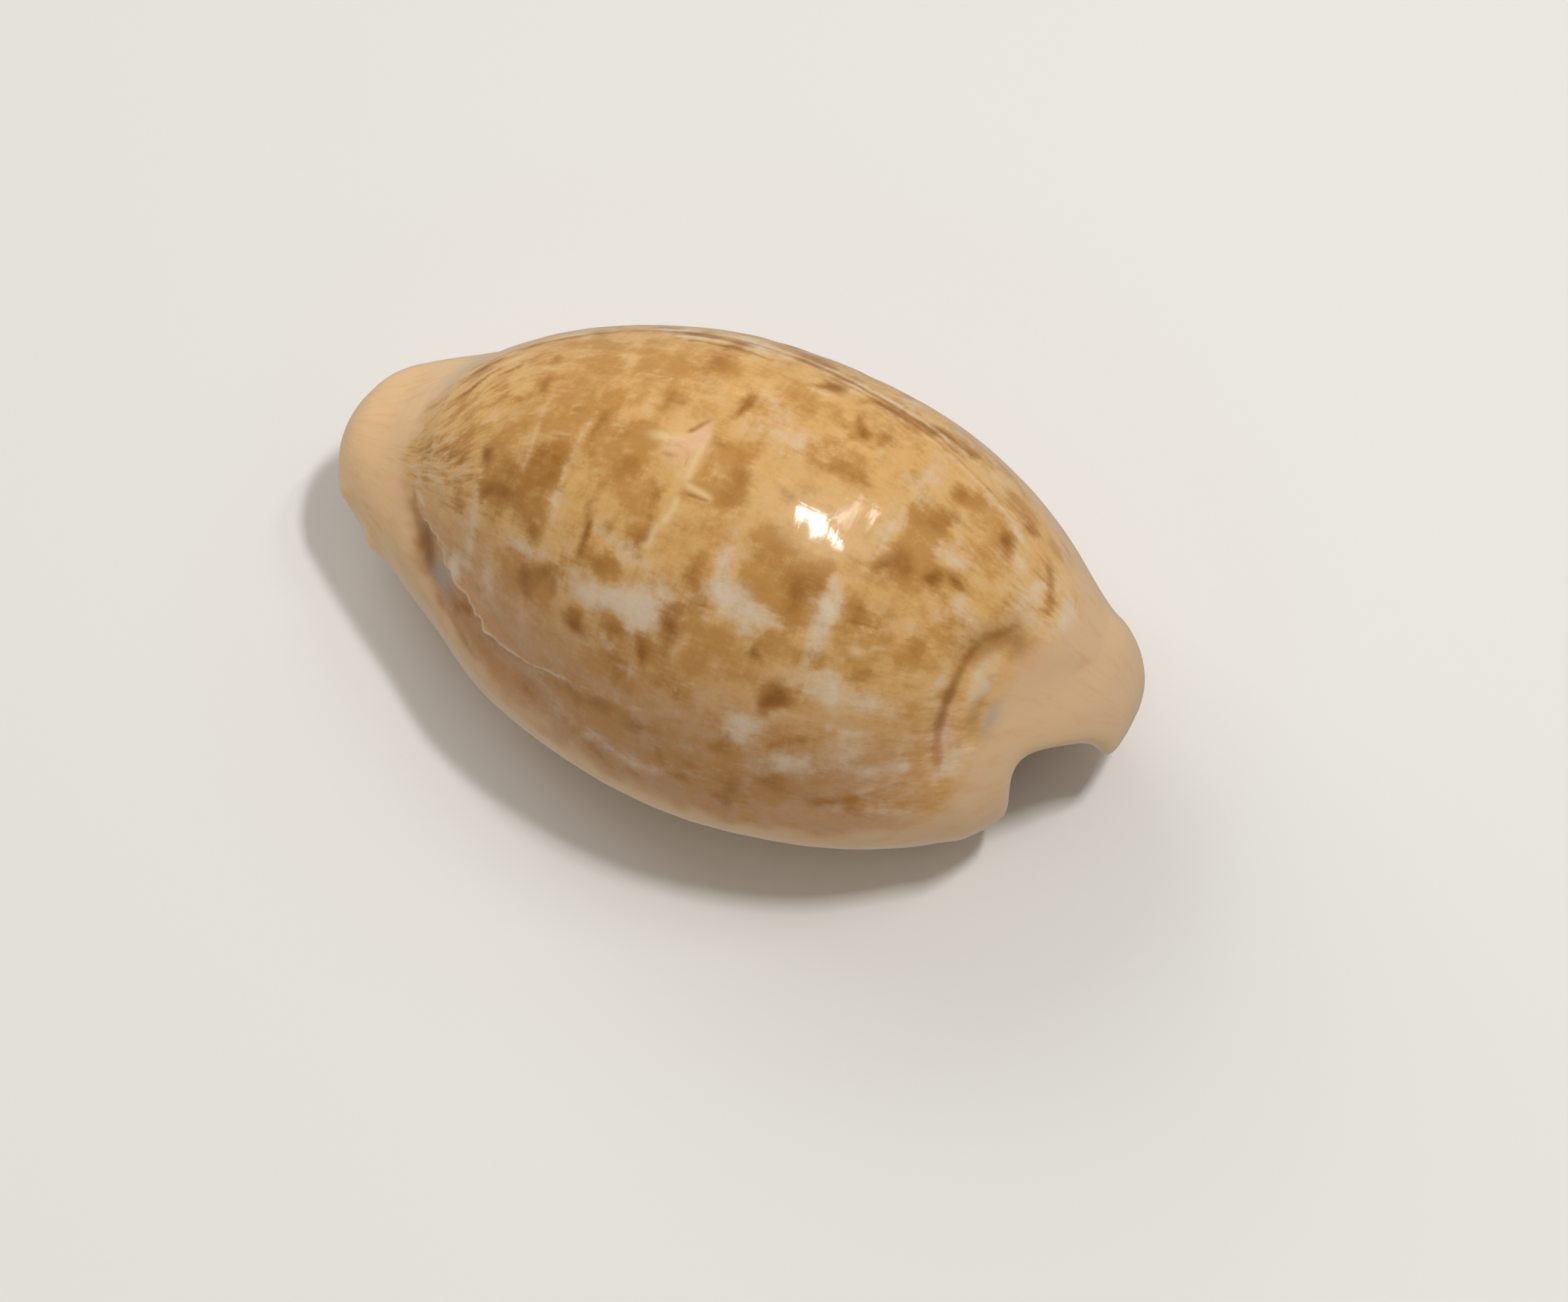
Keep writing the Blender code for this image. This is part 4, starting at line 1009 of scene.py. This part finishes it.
def hidden_marks():
    """Fields, blotches and pale patches of the same kinds for the far side, which is out of sight."""
    chance = np.random.default_rng(7)

    def draw(x, ranges):
        shift, roll, length, height, strength = (chance.uniform(low, high) for low, high in ranges)
        return x + shift, roll, length, height, strength
    fields, blotches, pale = [], [], []
    for x in np.linspace(-9.5, 12.0, 13):
        x_from, roll_from, length, height, strength = draw(x, HIDDEN_FIELD)
        fields.append((x_from, x_from + length, roll_from, roll_from + height, strength))
    for x in np.linspace(-8.5, 12.5, 22):
        blotches.append(draw(x, HIDDEN_BLOTCH))
        pale.append(draw(x, HIDDEN_PALE))
    return fields, blotches, pale


def back_marks(skin):
    """Strengths of the tan fields, the dark blotches with painted shade along the spire groove, and the pale
    patches.
    """
    hidden_fields, hidden_blotches, hidden_pale = hidden_marks()
    field = skin.fields(FIELDS + hidden_fields, seed=61)
    brown = skin.spots(BLOTCHES + hidden_blotches, wobble=0.34, seed=21)
    pale = skin.spots(PALE_PATCHES + hidden_pale, wobble=0.22, seed=31)
    for path, width, strength in STREAKS:
        streak = abs(strength) * skin.ridge(path, width, 0.25)
        if strength > 0:
            brown += (1.0 - brown) * streak
        else:
            pale += (1.0 - pale) * streak
            brown *= 1.0 - 0.6 * streak
            field *= 1.0 - 0.8 * streak
    # Painted shade: the blotch colour drawn along the spire groove to darken its floor
    return field, np.maximum(brown, 0.60 * skin.ridge(SPIRE_GROOVE, 0.20, 0.15)), pale


def callus_cover(skin):
    """How far the callus hides the back, with an edge that wanders more on the far side."""
    far_side = smoothstep(*FAR_SIDE_ROLL, skin.roll)
    within = skin.inside_outline(BACK_OUTLINE) + skin.noise(*CALLUS_WAVES)
    within += far_side * skin.noise(*CALLUS_WAVES_FAR)
    fade = CALLUS_FADE + (CALLUS_FADE_FAR - CALLUS_FADE) * far_side
    return smoothstep(fade, -fade, within)


def last_layer_marks(skin):
    """Strengths of the dark marks that the last layer leaves bare, partly painted shade in its grooves and
    under its edge, and of that layer's pale edge, partly a painted highlight on its lit rim.
    """
    stain = skin.spots(STAIN_AND_SHADE_SPOTS, wobble=0.1, seed=71)
    for path, width, strength in STAINS_AND_SHADE:
        stain = np.maximum(stain, strength * skin.ridge(path, width, STAIN_AND_SHADE_ENDS))
    gap, side, progress = skin.from_path(OVERLAP_EDGE, 1.0)
    # The dark old surface and its painted shade are kept below the layer's edge and cut off on the layer
    stain *= np.where(side > 0, 1.0, smoothstep(0.06, 0.0, gap))
    # Pale edge on the layer: partly its own whitish colour, partly a painted highlight on its lit rim
    edge = np.exp(-(gap / PALE_AND_LIT_EDGE_WIDTH) ** 2) * (side < 0)
    return stain, edge * within_ends(progress, *PALE_AND_LIT_EDGE_ENDS)


def scar_marks(skin):
    """Strengths of the healed scar, and of the dark pits in it with the painted shade beside its arms."""
    scar = np.maximum(0.75 * skin.spots(SCAR_SHEET, wobble=0.12, seed=5), 0.75 * skin.spots(CHIP))
    for strength, path, width, fade in SCAR_TINTS:
        scar = np.maximum(scar, strength * skin.ridge(path, width, fade))
    cracks = skin.spots(SCAR_PITS, wobble=0.25, seed=8)
    # Painted shade beside the scar's arms, joined to the pits
    for path, width in SCAR_GROOVES_AND_SHADE:
        cracks = np.maximum(cracks, 0.8 * skin.ridge(path, width, 0.3))
    return scar * (1.0 - cracks), cracks


def growth_flow(skin, reach):
    """Coordinates along the growth of the shell, which fans out towards the front."""
    toward_front = np.clip(FAN_START - skin.x, 0.0, None)
    fan = np.where(toward_front < FAN_RISE, toward_front ** 2 / (2 * FAN_RISE), toward_front - FAN_RISE / 2)
    return np.stack([skin.x, skin.across - fan * smoothstep(*FAN_ROLL, skin.roll), reach / MM], axis=-1)


def paint(obj, form, size):
    """Keeps each marking's strength on the mesh, for the material to colour."""
    points = coordinates(obj)
    roll, reach = form.locate(points)
    skin = Skin(form, points[:, 0], roll)
    field, brown, pale = back_marks(skin)
    stain, pale_and_lit_edge = last_layer_marks(skin)
    scar, cracks = scar_marks(skin)
    pink = np.maximum(skin.spots(SCAR_BLUSH, wobble=0.1, seed=6), skin.spots(PINK_SPOTS))
    crest, strength = tooth_field(form, size, points, roll)
    depth = (form.reach(points[:, 0], roll) - reach) / MM
    wall = np.where(skin.roll < 180, *INSIDE_FROM)
    strengths = {
        "field": field,
        # Blotches, with the scar's pits and the painted shade beside its arms
        "brown": np.maximum(brown, 0.8 * cracks),
        # Whitish patches, joined by the layer's edge with its painted highlight
        "pale": np.maximum(pale, 0.75 * pale_and_lit_edge),
        "callus": callus_cover(skin),
        "stain": stain,
        "scar": scar,
        "pink": pink * (1.0 - cracks),
        "grey": skin.spots(GREY_SPOTS),
        "tooth": smoothstep(*DARK_CREST, crest) * smoothstep(*DARK_STRENGTH, strength),
        "inside": smoothstep(wall, wall + INSIDE_FADE, depth) * smoothstep(*INSIDE_X, skin.x),
    }
    for name, (along, around) in TINTS.items():
        strengths[name] = smoothstep(*along, skin.x) * smoothstep(*around, skin.roll)
    for name, values in strengths.items():
        add_values(obj, name, values)
    flow = obj.data.attributes.new("flow", 'FLOAT_VECTOR', 'POINT')
    flow.data.foreach_set("vector", np.ascontiguousarray(growth_flow(skin, reach), dtype=np.float32).ravel())


class NodeDesk:
    """Short calls for building a material's nodes."""

    def __init__(self, material):
        self.nodes = material.node_tree.nodes
        self.links = material.node_tree.links

    def add(self, kind, **settings):
        node = self.nodes.new(kind)
        for name, value in settings.items():
            setattr(node, name, value)
        return node

    def feed(self, socket, value):
        if isinstance(value, bpy.types.NodeSocket):
            self.links.new(value, socket)
        elif socket.type == 'RGBA':
            socket.default_value = (*value, 1.0)
        else:
            socket.default_value = value

    def value(self, name):
        return self.add("ShaderNodeAttribute", attribute_name=name).outputs["Fac"]

    def math(self, operation, a, b):
        node = self.add("ShaderNodeMath", operation=operation)
        self.feed(node.inputs[0], a)
        self.feed(node.inputs[1], b)
        return node.outputs[0]

    def centred(self, noise, gain):
        return self.math('MULTIPLY', self.math('SUBTRACT', noise, 0.5), gain)

    def fit(self, value, low, high, to_low=0.0, to_high=1.0):
        node = self.add("ShaderNodeMapRange", interpolation_type='SMOOTHSTEP')
        self.feed(node.inputs["Value"], value)
        for name, number in (("From Min", low), ("From Max", high), ("To Min", to_low), ("To Max", to_high)):
            node.inputs[name].default_value = number
        return node.outputs["Result"]

    def mix(self, factor, a, b, blend='MIX'):
        node = self.add("ShaderNodeMix", data_type='RGBA', blend_type=blend)
        self.feed(node.inputs[0], factor)
        self.feed(node.inputs[6], a)
        self.feed(node.inputs[7], b)
        return node.outputs[2]

    def noise(self, place, scale, detail, roughness):
        mapping = self.add("ShaderNodeMapping")
        self.feed(mapping.inputs["Vector"], place)
        mapping.inputs["Scale"].default_value = scale
        node = self.add("ShaderNodeTexNoise")
        self.feed(node.inputs["Vector"], mapping.outputs["Vector"])
        node.inputs["Scale"].default_value = 1.0
        node.inputs["Detail"].default_value = detail
        node.inputs["Roughness"].default_value = roughness
        return node.outputs["Fac"]


def shell_material(colours):
    """Glossy shell, whose markings come from the mesh's own values and are broken up along its growth."""
    material = bpy.data.materials.new("polished cowrie")
    material.use_nodes = True
    desk = NodeDesk(material)
    shader = desk.nodes["Principled BSDF"]
    place = desk.add("ShaderNodeAttribute", attribute_name="flow").outputs["Vector"]
    fibres, threads, grain, clouds = (desk.noise(place, *noise) for noise in (FIBRES, THREADS, GRAIN, CLOUDS))
    of_fibres, of_threads, of_clouds = map(desk.centred, (fibres, threads, clouds), RAGGED)
    ragged = desk.math('ADD', of_fibres, desk.math('ADD', of_threads, of_clouds))
    ragged = desk.math('MULTIPLY', ragged, desk.fit(desk.value("fanned"), 0.0, 1.0, 1.0, RAGGED_IN_FRONT))

    back = desk.mix(desk.value("rosy"), colours.golden, colours.rosy)
    for name, share, start, full, cover, colour in BACK_LAYERS:
        strength = desk.math('ADD', desk.value(name), desk.math('MULTIPLY', ragged, share))
        tint = getattr(colours, colour)
        if colour == "pale":
            tint = desk.mix(desk.value("cream"), tint, colours.cream)
        back = desk.mix(desk.fit(strength, start, full, 0.0, cover), back, tint)
    # Front callus warmer, and lighter as painted light towards the front
    callus = desk.mix(desk.value("front"), colours.callus, colours.callus_front_tint_and_light)
    callus = desk.mix(desk.fit(clouds, 0.45, 0.80, 0.0, 0.45), callus, colours.callus_blush)
    skin = desk.mix(desk.value("callus"), back, callus)
    # Own colours laid on top; the first also paints shade in the grooves and under the last layer's edge
    for name in ("stain", "grey", "scar", "pink", "tooth", "inside"):
        skin = desk.mix(desk.value(name), skin, getattr(colours, name))
    uneven = desk.math('ADD', desk.math('MULTIPLY', grain, 0.6), desk.math('MULTIPLY', fibres, 0.4))
    tone = desk.add("ShaderNodeCombineColor")
    shade = desk.fit(uneven, 0.25, 0.75, 0.92, 1.08)
    for channel in tone.inputs[:3]:
        desk.feed(channel, shade)
    on_back = desk.fit(desk.value("callus"), 0.0, 1.0, 1.0, 0.15)
    skin = desk.mix(on_back, skin, tone.outputs["Color"], blend='MULTIPLY')

    bump = desk.add("ShaderNodeBump")
    bump.inputs["Strength"].default_value = 0.25
    bump.inputs["Distance"].default_value = 0.02 * MM
    desk.feed(bump.inputs["Height"], desk.math('ADD', threads, desk.math('MULTIPLY', fibres, 0.7)))
    desk.feed(shader.inputs["Base Color"], skin)
    for name in ("Normal", "Coat Normal"):
        desk.feed(shader.inputs[name], bump.outputs["Normal"])
    shader.inputs["Roughness"].default_value = colours.roughness
    shader.inputs["Coat Roughness"].default_value = colours.glaze_roughness
    for name, value in GLAZE.items():
        shader.inputs[name].default_value = value
    return material


def floor_material(colour):
    material = bpy.data.materials.new("pale floor")
    material.use_nodes = True
    shader = material.node_tree.nodes["Principled BSDF"]
    shader.inputs["Base Color"].default_value = (*colour, 1.0)
    shader.inputs["Roughness"].default_value = 0.9
    return material


class COWRIE_OT_grow_shell(bpy.types.Operator):
    """Grow the whole shell, cut its room, aperture and canals, and give it its relief, teeth and markings"""
    bl_idname = "cowrie.grow_shell"
    bl_label = "Grow Shell"

    def execute(self, context):
        size = context.scene.cowrie_size
        form = ShellForm(size)
        shell = grow_outside(form)
        cut(shell, room_cutter(form, size.wall))
        cut(shell, aperture_cutter(form))
        cut(shell, canal_cutter())
        apply_modifier(shell, 'REMESH', mode='VOXEL', voxel_size=VOXEL)
        apply_modifier(shell, 'SMOOTH', factor=0.5, iterations=EDGE_PASSES)
        round_canal_rim(shell)
        thin_inside(shell, form)
        refine(shell, form)
        finish_surface(shell, form, size)
        paint(shell, form, size)
        shell.data.shade_smooth()
        shell.data.materials.append(shell_material(context.scene.cowrie_colours))
        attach(shell, "root")
        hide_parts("shell")
        return {'FINISHED'}


def add_area_light(name, toward, distance, width, height, spin, power):
    """A soft light that stands off from the shell in a given direction, faces it and is spun in its plane."""
    direction = Vector(toward).normalized()
    deselect_all()
    bpy.ops.object.light_add(type='AREA', location=Vector(LOOKED_AT) + distance * direction)
    light = bpy.context.object
    light.name = light.data.name = name
    facing = direction.to_track_quat('Z', 'Y').to_matrix() @ Matrix.Rotation(math.radians(spin), 3, 'Z')
    light.rotation_euler = facing.to_euler()
    light.data.shape = 'RECTANGLE'
    light.data.size = width
    light.data.size_y = height
    light.data.energy = power
    return light


class COWRIE_OT_set_stage(bpy.types.Operator):
    """Lay a pale floor under the shell, light it softly and aim the camera"""
    bl_idname = "cowrie.set_stage"
    bl_label = "Set Stage"

    def execute(self, context):
        stage = context.scene.cowrie_stage
        deselect_all()
        bpy.ops.mesh.primitive_plane_add(size=stage.floor_size, location=(0.0, 0.0, 0.0))
        floor = context.object
        floor.name = "floor"
        floor.data.materials.append(floor_material(stage.floor))
        floor.visible_glossy = False

        lights = {name: add_area_light(name, *place, getattr(stage, name + "_power"))
                  for name, *place in LIGHTS}
        lights["fill"].visible_glossy = False
        world = bpy.data.worlds.new("studio")
        world.use_nodes = True
        background = world.node_tree.nodes["Background"]
        background.inputs["Color"].default_value = (*STUDIO_TINT, 1.0)
        background.inputs["Strength"].default_value = STUDIO_STRENGTH
        context.scene.world = world
        context.scene.view_settings.view_transform = 'Standard'

        bpy.ops.object.camera_add()
        camera = context.object
        camera.name = "camera"
        turn, rise = stage.azimuth, stage.elevation
        back = Vector((math.sin(turn) * math.cos(rise), -math.cos(turn) * math.cos(rise), math.sin(rise)))
        camera.location = Vector(LOOKED_AT) + stage.distance * back
        camera.rotation_euler = (math.radians(90) - rise, 0.0, turn)
        camera.data.lens = stage.lens
        camera.data.sensor_fit = 'HORIZONTAL'
        camera.data.sensor_width = 36.0
        camera.data.clip_start = 0.01
        context.scene.camera = camera
        return {'FINISHED'}


class COWRIE_PT_panel(bpy.types.Panel):
    """Sizes, colours and steps of the cowrie"""
    bl_idname = "COWRIE_PT_panel"
    bl_label = "Cowrie Shell"
    bl_space_type = 'VIEW_3D'
    bl_region_type = 'UI'
    bl_category = "Cowrie"

    def draw(self, context):
        for group in SETTINGS:
            settings = getattr(context.scene, group)
            box = self.layout.box()
            for name in settings.__annotations__:
                box.prop(settings, name)
        for operator in OPERATORS:
            self.layout.operator(operator.bl_idname)


SETTINGS = {"cowrie_size": CowrieSize, "cowrie_colours": CowrieColours, "cowrie_stage": CowrieStage}
OPERATORS = (COWRIE_OT_grow_shell, COWRIE_OT_set_stage)
CLASSES = (*SETTINGS.values(), *OPERATORS, COWRIE_PT_panel)


def register():
    for cls in CLASSES:
        bpy.utils.register_class(cls)
    for group, cls in SETTINGS.items():
        setattr(bpy.types.Scene, group, bpy.props.PointerProperty(type=cls))


def unregister():
    for group in SETTINGS:
        delattr(bpy.types.Scene, group)
    for cls in reversed(CLASSES):
        bpy.utils.unregister_class(cls)


def main():
    register()
    bpy.ops.cowrie.grow_shell()
    bpy.ops.cowrie.set_stage()


if __name__ == "__main__":
    main()
